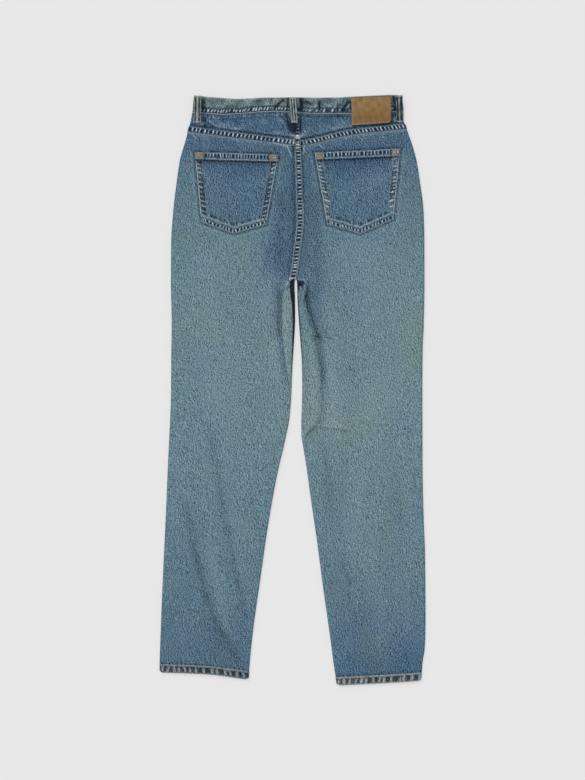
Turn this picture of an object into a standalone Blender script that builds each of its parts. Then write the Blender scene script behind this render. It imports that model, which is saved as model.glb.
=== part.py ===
"""Five-pocket jeans laid flat, back side up. +Z is up and the waist is towards +Y.

Lengths below are in millimetres. Each leg is a flattened tube: the back piece is its upper wall
and the front piece its lower one, and they meet at the side seam and inseam. Their walls are lofted
through rows that cross the leg. Smaller cloth pieces are open sheets with a Solidify modifier.
"""

import math
from collections import namedtuple

import bmesh
import bpy

MM = 0.001

CLOTH = 1.2  # denim wall
SEAM_GAP = 0.3  # between pieces that are sewn together
WAIST_GAP = 0.5  # and below the waistband, whose edge is wavy
FELL_WIDTH = 12.5  # the doubled band of a flat-felled seam
FELL_LIFT = 1.1  # how far that band stands above the cloth beside it
FELL_FOOT = 208.0  # height on the garment where the seat's band flattens out
STEP = 0.3  # run of the small step at a band's edge
HEM_DEPTH = 16.0
HEM_LIFT = 1.0
BAND_CLOTH = 2.2  # the waistband is two layers
BAND_UNDER = 3.2  # the waistband's underside, above the floor
BAND_TOP = 8.9
SCOOP_WIDTH = 98.0  # front pocket mouth, along the waist seam
SCOOP_DEPTH = 74.0  # and down the side seam
INSET = 1.5  # how far cloth inside the garment lies behind the outer piece
INNER_CLOTH = 1.0  # the wall of that cloth
FACING_SHORT = 2.0  # gap at the side seam between the pocket facing and the front piece
LOOP_WIDTH = 14.0
LOOP_CLOTH = 1.8
PATCH_THICK = 1.5
POCKET_HEM = 14.0
POCKET_HEM_LIFT = 0.8
BUTTON_RADIUS = 8.5
RIVET_RADIUS = 4.5

Level = namedtuple("Level", "y under top")
LEVELS = (
    Level(-560, 0.0, 5.0),
    Level(-300, 0.0, 5.4),
    Level(0, 0.0, 5.8),
    Level(200, 0.0, 7.0),
    Level(330, 0.0, 6.6),
    Level(450, 2.4, 7.2),
    Level(495, 3.2, 7.5),
    Level(560, 3.2, 7.5),
)

Side = namedtuple("Side", "y left right")
SIDES = (
    Side(548, -180.7, 201.7),
    Side(522, -183.2, 205.9),
    Side(497, -187.3, 206.4),
    Side(486, -190.2, 210.4),
    Side(459, -197.4, 220.2),
    Side(425, -207.2, 230.0),
    Side(388, -212.8, 236.0),
    Side(329, -219.8, 243.3),
    Side(270, -223.5, 244.8),
    Side(196, -223.9, 244.9),
    Side(118, -222.4, 243.5),
    Side(74, -223.2, 241.6),
    Side(-15, -223.9, 241.1),
    Side(-60, -225.7, 241.2),
    Side(-150, -230.0, 241.5),
    Side(-237, -233.6, 243.5),
    Side(-303, -236.8, 246.0),
    Side(-414, -241.7, 246.9),
    Side(-459, -243.3, 246.4),
    Side(-481, -244.2, 245.0),
    Side(-503, -244.8, 241.6),
    Side(-550, -245.2, 238.2),
)

Centre = namedtuple("Centre", "y x")
CENTRE_SEAM = (
    Centre(560, 14.5),
    Centre(512, 15.2),
    Centre(486, 15.9),
    Centre(444, 17.2),
    Centre(407, 18.9),
    Centre(360, 20.2),
    Centre(315, 21.1),
    Centre(281, 18.5),
    Centre(252, 14.6),
    Centre(224, 11.2),
    Centre(206, 7.6),
)

# The inner edge of each leg below the crotch. The inseam lies on the fold where turn is 0, and has
# rolled up on top of it where turn is 1, then a further strip of the front piece shows.
Inner = namedtuple("Inner", "y x turn strip")
INNER_LEFT = (
    Inner(200, 5.0, 0.0, 0.0),
    Inner(193, 4.8, 0.8, 4.0),
    Inner(184, 5.0, 1.0, 14.0),
    Inner(174, 5.6, 1.0, 20.5),
    Inner(133, 5.9, 1.0, 22.5),
    Inner(92, 4.0, 1.0, 18.5),
    Inner(46, 1.0, 1.0, 10.5),
    Inner(9, -0.4, 1.0, 3.0),
    Inner(-18, -1.6, 0.6, 0.0),
    Inner(-46, -4.1, 0.0, 0.0),
    Inner(-60, -5.7, 0.0, 0.0),
    Inner(-81, -10.2, 0.0, 0.0),
    Inner(-104, -14.9, 0.0, 0.0),
    Inner(-126, -20.4, 0.0, 0.0),
    Inner(-170, -30.0, 0.0, 0.0),
    Inner(-259, -45.5, 0.0, 0.0),
    Inner(-348, -58.3, 0.0, 0.0),
    Inner(-437, -70.9, 0.0, 0.0),
    Inner(-481, -75.9, 0.0, 0.0),
    Inner(-550, -82.0, 0.0, 0.0),
)
INNER_RIGHT = (
    Inner(200, 9.2, 0.0, 0.0),
    Inner(193, 9.4, 0.8, 5.0),
    Inner(184, 9.6, 1.0, 9.3),
    Inner(174, 9.8, 1.0, 10.4),
    Inner(133, 12.2, 1.0, 16.5),
    Inner(92, 15.3, 1.0, 24.8),
    Inner(46, 18.4, 1.0, 31.0),
    Inner(7, 18.9, 1.0, 34.4),
    Inner(-40, 17.7, 1.0, 34.0),
    Inner(-65, 17.0, 1.0, 27.0),
    Inner(-85, 17.4, 0.9, 7.0),
    Inner(-104, 20.4, 0.0, 0.0),
    Inner(-148, 27.4, 0.0, 0.0),
    Inner(-192, 33.3, 0.0, 0.0),
    Inner(-281, 46.3, 0.0, 0.0),
    Inner(-370, 57.9, 0.0, 0.0),
    Inner(-459, 70.7, 0.0, 0.0),
    Inner(-503, 76.4, 0.0, 0.0),
    Inner(-550, 84.0, 0.0, 0.0),
)

# Lines across the garment: the height of a seam or edge at each place from left to right.
Across = namedtuple("Across", "x y")
WAIST_TOP = (
    Across(-184, 544.5),
    Across(-140, 540.5),
    Across(-99, 537.8),
    Across(-54, 540.2),
    Across(8, 540.6),
    Across(65, 540.2),
    Across(110, 541.8),
    Across(183, 545.0),
    Across(205, 543.8),
)
WAIST_SEAM = (
    Across(-185, 512.1),
    Across(-126, 508.0),
    Across(-40, 513.2),
    Across(8, 511.9),
    Across(50, 509.4),
    Across(107, 509.4),
    Across(185, 513.0),
    Across(206, 512.5),
)
FRONT_DIP = 16.0  # how far the front waist lies below the back one at the centre
YOKE_SEAM = (
    Across(-190, 487.5),
    Across(-94, 475.0),
    Across(2, 463.5),
    Across(17, 462.0),
    Across(32, 464.0),
    Across(104, 480.5),
    Across(210, 493.0),
)
HEM_LEFT = (Across(-245, -522.3), Across(-160, -525.5), Across(-81, -535.7))
HEM_RIGHT = (Across(84, -546.3), Across(155, -543.0), Across(238, -537.8))

# Soft folds of the upper wall, as straight ridges or troughs.
Fold = namedtuple("Fold", "x0 y0 x1 y1 half_width height")
FOLDS = (
    Fold(-22, 330, -25, 228, 13, -1.3),
    Fold(44, 325, 50, 190, 13, -1.4),
    Fold(-34, 170, -26, 40, 18, 2.4),
    Fold(62, 120, 74, -50, 22, 2.6),
    Fold(-186, -225, -172, -330, 12, -0.9),
    Fold(-170, -330, -146, -440, 12, -1.3),
    Fold(-146, -440, -100, -505, 13, -1.4),
    Fold(-140, -120, -112, -330, 13, -1.0),
    Fold(-112, -330, -86, -450, 11, -1.4),
    Fold(-150, -300, -118, -440, 13, 1.4),
    Fold(60, -110, 78, -230, 14, -1.0),
    Fold(120, -180, 112, -300, 15, 0.9),
    Fold(180, -120, 196, -330, 18, -0.9),
    Fold(150, -330, 170, -480, 18, 1.0),
    Fold(-150, 180, -140, 0, 30, 1.0),
    Fold(150, 190, 158, 10, 30, 1.1),
)

CROTCH_Y = 200.0
LEG_ROWS = (
    250, 228, 214, 206, 200, 195, 188, 178, 162, 135, 105, 75, 42, 10, -18, -42, -62, -78, -92, -115,
    -145, -180, -220, -260, -300, -340, -380, -420, -455, -485,
)  # fmt: skip

# Corners of the back pockets and the patch, seen from above.
Corners = namedtuple("Corners", "top_left top_right bottom_right tip bottom_left")
POCKET_LEFT = Corners((-179.6, 440.0), (-24.8, 435.7), (-48.1, 305.4), (-108.0, 288.4), (-167.6, 311.0))
POCKET_RIGHT = Corners((41.6, 439.2), (200.2, 446.2), (187.4, 315.2), (126.5, 288.4), (65.1, 306.2))
PATCH = Corners((109.7, 541.0), (184.1, 543.4), (185.6, 495.2), (148.0, 492.0), (110.6, 489.3))


class Curve:
    """A smooth line through points, which stays between neighbouring values."""

    def __init__(self, xs, ys):
        pairs = sorted(zip(xs, ys))
        self.xs = [p[0] for p in pairs]
        self.ys = [p[1] for p in pairs]
        spans = list(zip(self.xs, self.xs[1:], self.ys, self.ys[1:]))
        rises = [(y1 - y0) / (x1 - x0) for x0, x1, y0, y1 in spans]
        self.slopes = [rises[0]]
        for a, b in zip(rises, rises[1:]):
            self.slopes.append(2 * a * b / (a + b) if a * b > 0 else 0.0)
        self.slopes.append(rises[-1])

    def __call__(self, x):
        xs = self.xs
        if x <= xs[0]:
            return self.ys[0] + self.slopes[0] * (x - xs[0])
        if x >= xs[-1]:
            return self.ys[-1] + self.slopes[-1] * (x - xs[-1])
        k = max(i for i in range(len(xs) - 1) if xs[i] <= x)
        width = xs[k + 1] - xs[k]
        t = (x - xs[k]) / width
        return (
            (2 * t**3 - 3 * t**2 + 1) * self.ys[k]
            + (t**3 - 2 * t**2 + t) * width * self.slopes[k]
            + (3 * t**2 - 2 * t**3) * self.ys[k + 1]
            + (t**3 - t**2) * width * self.slopes[k + 1]
        )


def column(table, x_name, y_name):
    """The curve of one named column of a table against another."""
    return Curve([getattr(r, x_name) for r in table], [getattr(r, y_name) for r in table])


def mix(a, b, t):
    return a + (b - a) * t


def ease(t):
    """0 to 1 with level ends."""
    t = min(1.0, max(0.0, t))
    return t * t * (3 - 2 * t)


UNDER = column(LEVELS, "y", "under")
TOP = column(LEVELS, "y", "top")
waist_top = column(WAIST_TOP, "x", "y")
waist_seam = column(WAIST_SEAM, "x", "y")
yoke_seam = column(YOKE_SEAM, "x", "y")
centre_seam = column(CENTRE_SEAM, "y", "x")
WAIST_MIDDLE = 11.0
WAIST_HALF = 195.0


def front_dip(x):
    """How far the front waist lies below the back one at x: nothing at the sides."""
    across = min(1.0, abs(x - WAIST_MIDDLE) / WAIST_HALF)
    return FRONT_DIP * (1 - across**2) ** 2


def front_waist_seam(x):
    return waist_seam(x) - front_dip(x)


def front_waist_top(x):
    return waist_top(x) - front_dip(x)


def fold_relief(x, y):
    """Height that the soft folds add to the upper wall at a place."""
    total = 0.0
    for f in FOLDS:
        dx, dy = f.x1 - f.x0, f.y1 - f.y0
        length = math.hypot(dx, dy)
        along = ((x - f.x0) * dx + (y - f.y0) * dy) / length
        off = abs((x - f.x0) * dy - (y - f.y0) * dx) / length
        end = max(0.0, -along, along - length)
        total += f.height * math.exp(-((off / f.half_width) ** 2) - (end / (2.2 * f.half_width)) ** 2)
    return total


def top_at(x, y):
    """Outside height of the upper wall."""
    return TOP(y) + fold_relief(x, y)


class Leg:
    """One leg with its half of the seat: its outline and where its seams lie."""

    def __init__(self, name, inward, inner, hem):
        self.name = name
        self.inward = inward  # the direction in x from the side seam to the middle
        self.side = column(SIDES, "y", name)
        self.inner_x = column(inner, "y", "x")
        self.turn = column(inner, "y", "turn")
        self.strip = column(inner, "y", "strip")
        self.hem = column(hem, "x", "y")

    def inner(self, y):
        """x of the centre seam above the crotch, or of the inner fold below it."""
        if y >= 206:
            return centre_seam(y)
        if y <= CROTCH_Y:
            return self.inner_x(y)
        return mix(self.inner_x(CROTCH_Y), centre_seam(206), ease((y - CROTCH_Y) / 6))

    def turns(self, y):
        """Where the back and front pieces end on the inner fold: 1 on top, 0 on it, -1 below."""
        if y <= CROTCH_Y:
            turn = min(1.0, self.turn(y))
            return turn, turn
        open_out = ease((y - CROTCH_Y) / 14)
        return open_out, -open_out

    def shown_strip(self, y):
        return max(0.0, self.strip(y)) if y <= CROTCH_Y else 0.0


LEFT = Leg("left", 1, INNER_LEFT, HEM_LEFT)
RIGHT = Leg("right", -1, INNER_RIGHT, HEM_RIGHT)


class Section:
    """The flattened tube of one leg where a line y(x) crosses it."""

    def __init__(self, leg, line, lift=0.0):
        self.leg, self.line, self.lift = leg, line, lift
        self.side_x = leg.side(line(leg.side(0.0)))
        for _ in range(6):
            self.side_x = leg.side(line(self.side_x))
        self.inner_x = leg.inner(line(0.0))
        for _ in range(6):
            self.inner_x = leg.inner(line(self.inner_x))
        self.inner_y = line(self.inner_x)
        self.r_side = self.radius(self.side_x)
        self.r_fold = self.radius(self.inner_x)
        back_turn, front_turn = leg.turns(self.inner_y)
        spread = 1 - math.cos(math.pi * (back_turn - front_turn) / 4)
        self.width = abs(self.inner_x - self.side_x) + self.r_fold * spread
        self.side_arc = self.r_side * math.pi / 2
        self.fold_arc = self.r_fold * math.pi / 2
        self.fold_start = self.side_arc + self.width - self.r_side - self.r_fold
        strip = leg.shown_strip(self.inner_y)
        self.back_end = self.fold_start + self.fold_arc * (1 - back_turn) - strip
        self.front_end = self.fold_start + self.fold_arc * (1 + front_turn) + strip

    def heights(self, x, y):
        return UNDER(y), top_at(x, y) + self.lift

    def radius(self, x):
        under, top = self.heights(x, self.line(x))
        return (top - under) / 2

    def point(self, run, upper, out=0.0):
        """The place run mm along the outside from the side seam, moved out by out.

        The run starts at half height on the side, and goes over the top if upper, else below.
        """
        past = run - self.fold_start
        if run < self.side_arc:
            r, angle = self.r_side, run / self.r_side
            across = r - (r + out) * math.cos(angle)
            rise = (r + out) * math.sin(angle)
            middle = sum(self.heights(self.side_x, self.line(self.side_x))) / 2
        elif past <= 0:
            across = self.r_side + run - self.side_arc
            rise = middle = None
        elif past <= 2 * self.fold_arc:
            r, angle = self.r_fold, past / self.r_fold
            across = self.width - r + (r + out) * math.sin(angle)
            rise = (r + out) * math.cos(angle)
            middle = sum(self.heights(self.inner_x, self.line(self.inner_x))) / 2
        else:
            across = self.width - self.r_fold - (past - 2 * self.fold_arc)
            rise = middle = None
        x = self.side_x + self.leg.inward * across
        y = self.line(x)
        if rise is not None:
            return x, y, middle + (rise if upper else -rise)
        under, top = self.heights(x, y)
        on_top = upper if past <= 0 else not upper
        return x, y, (top + out) if on_top else (under - out)

    def run_at(self, x):
        """The run from the side seam of a place on the flat part."""
        return self.side_arc + abs(x - self.side_x) - self.r_side


def spread_out(runs, least=0.7):
    """The same runs, with each at least that far before the next, from the last one back."""
    for k in range(len(runs) - 2, -1, -1):
        runs[k] = min(runs[k], runs[k + 1] - least)
    return runs


def between(a, b, count):
    """Values from a to b, without b."""
    return [mix(a, b, k / count) for k in range(count)]


def make_object(name, mesh, material, smooth_angle=40):
    """Put a mesh in the collection as a named, smooth-shaded object."""
    mesh.materials.append(material)
    mesh.shade_smooth()
    mesh.set_sharp_from_angle(angle=math.radians(smooth_angle))
    obj = bpy.data.objects.new(name, mesh)
    collection.objects.link(obj)
    obj.parent = garment
    return obj


def add_points(bm, rows):
    """Vertices for rows of points in millimetres."""
    return [[bm.verts.new([c * MM for c in p]) for p in row] for row in rows]


def wall(name, outside, inside, material):
    """A cloth piece lofted through rows of points on its outside and, as many, on its inside."""
    bm = bmesh.new()
    outer, inner = add_points(bm, outside), add_points(bm, inside)
    last = len(outer[0]) - 1
    for i in range(len(outer) - 1):
        for k in range(last):
            bm.faces.new((outer[i][k], outer[i + 1][k], outer[i + 1][k + 1], outer[i][k + 1]))
            bm.faces.new((inner[i][k], inner[i][k + 1], inner[i + 1][k + 1], inner[i + 1][k]))
        for k in (0, last):
            bm.faces.new((outer[i][k], inner[i][k], inner[i + 1][k], outer[i + 1][k]))
    for k in range(last):
        for i in (0, len(outer) - 1):
            bm.faces.new((outer[i][k], outer[i][k + 1], inner[i][k + 1], inner[i][k]))
    bmesh.ops.recalc_face_normals(bm, faces=bm.faces)
    mesh = bpy.data.meshes.new(name)
    bm.to_mesh(mesh)
    bm.free()
    return make_object(name, mesh, material)


def sheet(name, rows, walls, material, flip=False):
    """A cloth piece: a grid of outside points in rows, thickened inwards by walls (same shape).

    Its outside faces up where the rows run down and their points run towards +X, unless flipped.
    """
    thickest = max(max(row) for row in walls)
    bm = bmesh.new()
    grid = add_points(bm, rows)
    for upper, lower in zip(grid, grid[1:]):
        for k in range(len(upper) - 1):
            bm.faces.new((upper[k], lower[k], lower[k + 1], upper[k + 1]))
    if flip:
        bmesh.ops.reverse_faces(bm, faces=bm.faces)
    mesh = bpy.data.meshes.new(name)
    bm.to_mesh(mesh)
    bm.free()
    obj = make_object(name, mesh, material)
    group = obj.vertex_groups.new(name="wall")
    for k, thick in enumerate(t for row in walls for t in row):
        group.add([k], thick / thickest, "REPLACE")
    solid = obj.modifiers.new("cloth", "SOLIDIFY")
    solid.thickness = thickest * MM
    solid.offset = -1
    solid.vertex_group = group.name
    return obj


def line_mix(a, b, t):
    return lambda x: mix(a(x), b(x), t)


def lowered(line, by):
    return lambda x: line(x) - by


def level_line(y):
    return lambda x: y


Row = namedtuple("Row", "line lift wall start_x", defaults=(0.0, CLOTH, None))


def leg_lines(leg, top_line, top_steps):
    """Row lines from below top_line down to the hem, with their lift and wall."""
    first = level_line(LEG_ROWS[0])
    rows = [Row(line_mix(top_line, first, k / top_steps)) for k in range(top_steps)]
    rows += [Row(level_line(y)) for y in LEG_ROWS]
    hem_top = lowered(leg.hem, -HEM_DEPTH)
    rows += [
        Row(lowered(hem_top, -STEP)),
        Row(hem_top, HEM_LIFT, CLOTH + HEM_LIFT),
        Row(lowered(leg.hem, -HEM_DEPTH / 2), HEM_LIFT, CLOTH + HEM_LIFT),
        Row(leg.hem, HEM_LIFT, CLOTH + HEM_LIFT),
    ]
    return rows


def back_piece(leg, name, rows, fell_rows, has_fell, material):
    """An upper wall from the side seam to the centre seam or inseam.

    fell_rows says which rows carry the band of the seam across the top, and has_fell whether the
    band of the centre seam is folded from this piece.
    """
    outside, inside = [], []
    for row, is_fell in zip(rows, fell_rows):
        section = Section(leg, row.line, row.lift)
        start, end = SEAM_GAP / 2, section.back_end - SEAM_GAP / 2
        arc = section.side_arc
        band = end - FELL_WIDTH
        bend = min(section.fold_start, end - 2)
        runs = [start, arc / 2]
        if has_fell:
            runs += between(arc, band - FELL_WIDTH, 8) + [band - STEP, band]
        else:
            runs += between(arc, band, 9)
        runs = spread_out(runs + [bend, mix(bend, end, 0.5), end])
        fell_lift = FELL_LIFT * ease((section.inner_y - FELL_FOOT) / 10) if has_fell else 0.0
        outer_row, inner_row = [], []
        for run in runs:
            lift = FELL_LIFT * ease(run / arc) if is_fell else 0.0
            if run >= band - STEP / 2:
                lift = max(lift, fell_lift)
            outer_row.append(section.point(run, True, lift))
            inner_row.append(section.point(run, True, -row.wall))
        outside.append(outer_row)
        inside.append(inner_row)
    return wall(name, outside, inside, material)


def back_leg(leg, has_fell, material):
    """A back leg piece, from the yoke seam to the hem."""
    top = lowered(yoke_seam, SEAM_GAP / 2)
    foot = lowered(top, FELL_WIDTH)
    fell = [Row(top), Row(lowered(top, FELL_WIDTH / 2)), Row(foot)]
    rows = fell + leg_lines(leg, lowered(foot, STEP), 8)
    flags = [k < len(fell) for k in range(len(rows))]
    return back_piece(leg, f"back_leg_{leg.name}", rows, flags, has_fell, material)


def yoke(leg, has_fell, material):
    """The V-shaped piece between the waistband and the back leg."""
    top = lowered(waist_seam, SEAM_GAP / 2)
    foot = lowered(yoke_seam, -SEAM_GAP / 2)
    rows = [Row(line_mix(top, foot, k / 3)) for k in range(4)]
    return back_piece(leg, f"yoke_{leg.name}", rows, [False] * 4, has_fell, material)


def scoop_edge(leg, turn, margin=0.0):
    """A point on the front pocket's mouth: turn 0 at the side seam, 1 at the waist seam."""
    angle = turn * math.pi / 2
    across = (SCOOP_WIDTH - margin) * math.sin(angle)
    x = leg.side(512) + leg.inward * across
    y = front_waist_seam(x) - SEAM_GAP / 2 - (SCOOP_DEPTH - margin) * math.cos(angle)
    return mix(leg.side(y) + leg.inward * across, x, turn), y


MOUTH_TURNS = (1.0, 0.82, 0.63, 0.45, 0.28, 0.13, 0.04)


def front_rows(leg):
    """Rows of the front piece: a fan from the pocket mouth to the centre, then the leg's own."""
    top = lowered(front_waist_seam, SEAM_GAP / 2)
    rows = []
    for turn in MOUTH_TURNS:
        edge_x, edge_y = scoop_edge(leg, turn)
        edge_depth = top(edge_x) - edge_y
        middle_depth = SCOOP_DEPTH * (1 - turn)

        def line(x, edge_x=edge_x, edge_depth=edge_depth, middle_depth=middle_depth):
            t = (x - edge_x) / (WAIST_MIDDLE - edge_x)
            return top(x) - mix(edge_depth, middle_depth, min(1.0, max(0.0, t)))

        rows.append(Row(line, start_x=edge_x))
    return rows + leg_lines(leg, lowered(top, SCOOP_DEPTH), 5)


def front_leg(leg, material):
    """A front leg piece: the lower wall, wrapped round the inner fold below the crotch."""
    outside, inside = [], []
    for row in front_rows(leg):
        section = Section(leg, row.line, row.lift)
        end = section.front_end - SEAM_GAP / 2
        if row.start_x is None:
            start, arc = SEAM_GAP / 2, section.side_arc
            runs = [start, arc / 2, arc]
        else:
            start = section.run_at(row.start_x)
            runs = [start, start + 1.5, start + 3]
        round_arc = max(0.0, min(end - section.fold_start, 2 * section.fold_arc))
        turned = [section.fold_start + round_arc * k / 4 for k in range(1, 5)]
        runs += between(runs[-1], min(section.fold_start, end - 8), 8)[1:]
        runs += [min(section.fold_start, end - 8)] + turned + [end]
        runs = spread_out(runs)
        outside.append([section.point(run, False) for run in runs])
        inside.append([section.point(run, False, -row.wall) for run in runs])
    return wall(f"front_leg_{leg.name}", outside, inside, material)


def pocket_facing(leg, material):
    """The cloth seen in a front pocket's mouth, set back behind the front piece."""
    rows, columns, reach, open_run = 6, 5, 14.0, 9.0
    outside, inside = [], []
    for i in range(rows + 1):
        v = i / rows
        edge_x, _ = scoop_edge(leg, 1 - v)
        depth = (SCOOP_DEPTH - FACING_SHORT) * math.sin(v * math.pi / 2)

        def line(x, depth=depth, v=v):
            past = abs(x - leg.side(450)) - open_run
            return front_waist_seam(x) - SEAM_GAP / 2 - depth - reach * v * ease(past / reach)

        section = Section(leg, line)
        end = section.run_at(edge_x) + reach
        runs = between(SEAM_GAP / 2, open_run, 3) + between(open_run, end, columns) + [end]
        insets = [INSET * ease(run / open_run) for run in runs]
        outside.append([section.point(run, False, -out) for run, out in zip(runs, insets)])
        inside.append([section.point(run, False, -out - INNER_CLOTH) for run, out in zip(runs, insets)])
    return wall(f"pocket_facing_{leg.name}", outside, inside, material)


def coin_pocket(leg, material):
    """A small pocket in the right front pocket's mouth, on its facing."""
    drop, from_side, rows, columns = 24.0, 14.0, 5, 4
    points = []
    for i in range(rows + 1):
        edge_x, edge_y = scoop_edge(leg, mix(0.78, 0.2, i / rows), margin=2.2)
        side_x = leg.side(edge_y) + leg.inward * from_side
        row = []
        for k in range(columns + 1):
            x = mix(side_x, edge_x, k / columns)
            y = min(edge_y, front_waist_seam(x) - drop)
            row.append((x, y, UNDER(y) + 0.2))
        points.append(row)
    walls = [[INNER_CLOTH] * (columns + 1)] * (rows + 1)
    return sheet("coin_pocket", points, walls, material)


def fly_shield(material):
    """The strip behind the closed fly, seen where the two front pieces meet."""
    width, length, rows, columns = 38.0, 150.0, 7, 2
    points = []
    for i in range(rows + 1):
        row = []
        for k in range(columns + 1):
            x = WAIST_MIDDLE + width * (k / columns - 0.4) * (1 - 0.25 * (i / rows) ** 2)
            y = front_waist_seam(x) - SEAM_GAP - length * i / rows
            row.append((x, y, UNDER(y) + INSET))
        points.append(row)
    walls = [[INNER_CLOTH] * (columns + 1)] * (rows + 1)
    return sheet("fly_shield", points, walls, material, flip=True)


def back_pocket(name, corners, material):
    """A patch pocket: square at the top, pointed below, with a doubled hem at its mouth."""
    columns, body_rows = 8, 7
    points, walls = [], []

    def place(u, v):
        top = [mix(a, b, u) for a, b in zip(corners.top_left, corners.top_right)]
        if u < 0.5:
            foot = [mix(a, b, 2 * u) for a, b in zip(corners.bottom_left, corners.tip)]
        else:
            foot = [mix(a, b, 2 * u - 1) for a, b in zip(corners.tip, corners.bottom_right)]
        return mix(top[0], foot[0], v), mix(top[1], foot[1], v)

    height = corners.top_left[1] - corners.tip[1]
    hem = POCKET_HEM / height
    depths = [(0.0, POCKET_HEM_LIFT), (hem, POCKET_HEM_LIFT)]
    depths += [(mix(hem + STEP / height, 1.0, k / body_rows), 0.0) for k in range(body_rows + 1)]
    for v, lift in depths:
        row = []
        for k in range(columns + 1):
            x, y = place(k / columns, v)
            row.append((x, y, top_at(x, y) + SEAM_GAP + CLOTH + lift))
        points.append(row)
        walls.append([CLOTH + lift] * (columns + 1))
    return sheet(name, points, walls, material)


def waistband(material):
    """One strip round the waist, from its buttoned end under the left front back to the right."""
    rows, opening, turn_steps = 3, WAIST_MIDDLE + 20.0, 5
    radius = (BAND_TOP - BAND_UNDER) / 2
    middle = (BAND_TOP + BAND_UNDER) / 2
    points, walls = [], []
    for i in range(rows + 1):
        v = 1 - i / rows

        def height(x, front, v=v):
            seam, top = waist_seam(x) + WAIST_GAP - SEAM_GAP / 2, waist_top(x)
            return mix(seam, top, v) - (front_dip(x) if front else 0.0)

        left, right = LEFT.side(height(-184, False)), RIGHT.side(height(205, False))
        row = []
        for x in between(opening - SEAM_GAP, left + radius, 10):
            row.append((x, height(x, True), BAND_UNDER))
        for k in range(turn_steps):
            angle = math.pi * k / turn_steps
            x = left + radius - radius * math.sin(angle)
            row.append((x, height(x, 2 * k < turn_steps), middle - radius * math.cos(angle)))
        for x in between(left + radius, right - radius, 20):
            row.append((x, height(x, False), BAND_TOP))
        for k in range(turn_steps):
            angle = math.pi * k / turn_steps
            x = right - radius + radius * math.sin(angle)
            row.append((x, height(x, 2 * k > turn_steps), middle + radius * math.cos(angle)))
        for x in between(right - radius, opening, 8) + [opening]:
            row.append((x, height(x, True), BAND_UNDER))
        points.append(row)
        walls.append([BAND_CLOTH] * len(row))
    return sheet("waistband", points, walls, material)


LoopStation = namedtuple("LoopStation", "along out seated")
# Along is from the band's top edge down, out the inner face above what lies beneath it: the
# waistband where seated is 0, and the cloth below it where it is 1.
LOOP_SHAPE = (
    LoopStation(0.3, 0.3, 0.0),
    LoopStation(5.0, 0.4, 0.0),
    LoopStation(13.0, 0.9, 0.0),
    LoopStation(23.0, 0.9, 0.0),
    LoopStation(33.5, 0.4, 0.0),
    LoopStation(39.0, 0.3, 1.0),
    LoopStation(45.5, 0.3, 1.0),
)
LoopPlace = namedtuple("LoopPlace", "name x lean twist lift underneath length")
LOOPS = (
    LoopPlace("loop_centre_back", 0.8, 4.0, 0.0, FELL_LIFT, False, 47.5),
    LoopPlace("loop_back_left", -174.2, -1.0, -30.0, 0.0, False, 51.0),
    LoopPlace("loop_back_right", 197.5, 1.5, 42.0, 0.0, False, 51.0),
    LoopPlace("loop_front_left", -62.0, 0.0, 0.0, 0.0, True, 45.5),
    LoopPlace("loop_front_right", 84.0, 0.0, 0.0, 0.0, True, 45.5),
)


def belt_loop(place, material):
    """A strip that bows over the waistband, from its top edge to below the waist seam."""
    top = (front_waist_top if place.underneath else waist_top)(place.x)
    points = []
    columns = 2
    for station in LOOP_SHAPE[:-1] + (LOOP_SHAPE[-1]._replace(along=place.length),):
        t = station.along / place.length
        turn = math.radians(place.twist) * math.sin(math.pi * t)
        y = top - station.along
        row = []
        for k in range(columns + 1):
            side = (k / columns - 0.5) * LOOP_WIDTH
            x = place.x + place.lean * t + side * math.cos(turn)
            tilt = 0.6 * (LOOP_WIDTH / 2 * abs(math.sin(turn)) - side * math.sin(turn))
            out = station.out + LOOP_CLOTH + tilt
            if place.underneath:
                height = mix(BAND_UNDER, UNDER(y), station.seated) - out
            else:
                height = mix(BAND_TOP, top_at(x, y) + place.lift, station.seated) + out
            row.append((x, y, height))
        points.append(row)
    walls = [[LOOP_CLOTH] * (columns + 1)] * len(LOOP_SHAPE)
    return sheet(place.name, points, walls, material, flip=place.underneath)


def waist_patch(material):
    """The leather patch, sewn over the waistband and the yoke below it."""
    rows, columns, bend, bend_start = 6, 4, 9.0, 3.0
    points = []
    for i in range(rows + 1):
        row = []
        for k in range(columns + 1):
            u, v = k / columns, i / rows
            left = [mix(a, b, v) for a, b in zip(PATCH.top_left, PATCH.bottom_left)]
            right = [mix(a, b, v) for a, b in zip(PATCH.top_right, PATCH.bottom_right)]
            x, y = mix(left[0], right[0], u), mix(left[1], right[1], u)
            on_band = ease((y - waist_seam(x) + bend_start + bend) / bend)
            row.append((x, y, mix(top_at(x, y), BAND_TOP, on_band) + SEAM_GAP + PATCH_THICK))
        points.append(row)
    walls = [[PATCH_THICK] * (columns + 1)] * (rows + 1)
    return sheet("waist_patch", points, walls, material)


def turned(name, profile, place, material):
    """A round metal piece from its profile of (radius, height), below the place."""
    mesh = bpy.data.meshes.new(name)
    ends = [(0.0, profile[0][1])] + list(profile) + [(0.0, profile[-1][1])]
    edges = [(k, k + 1) for k in range(len(ends) - 1)]
    mesh.from_pydata([(r * MM, 0.0, z * MM) for r, z in ends], edges, [])
    obj = make_object(name, mesh, material)
    obj.location = [c * MM for c in place]
    screw = obj.modifiers.new("turn", "SCREW")
    screw.steps = screw.render_steps = 14
    screw.use_merge_vertices = True
    screw.merge_threshold = 0.00001
    return obj


def waist_button(material):
    """The tack button on the waistband's buttoned end."""
    x = WAIST_MIDDLE + 4.0
    y = (front_waist_seam(x) + front_waist_top(x)) / 2
    rim, top = BUTTON_RADIUS, BAND_UNDER - SEAM_GAP
    profile = ((rim - 2.5, top), (rim, 2.2), (rim, 1.2), (rim - 1.0, 0.5), (rim - 2.6, 0.9), (2.4, 0.6))
    return turned("waist_button", profile, (x, y, 0.0), material)


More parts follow.
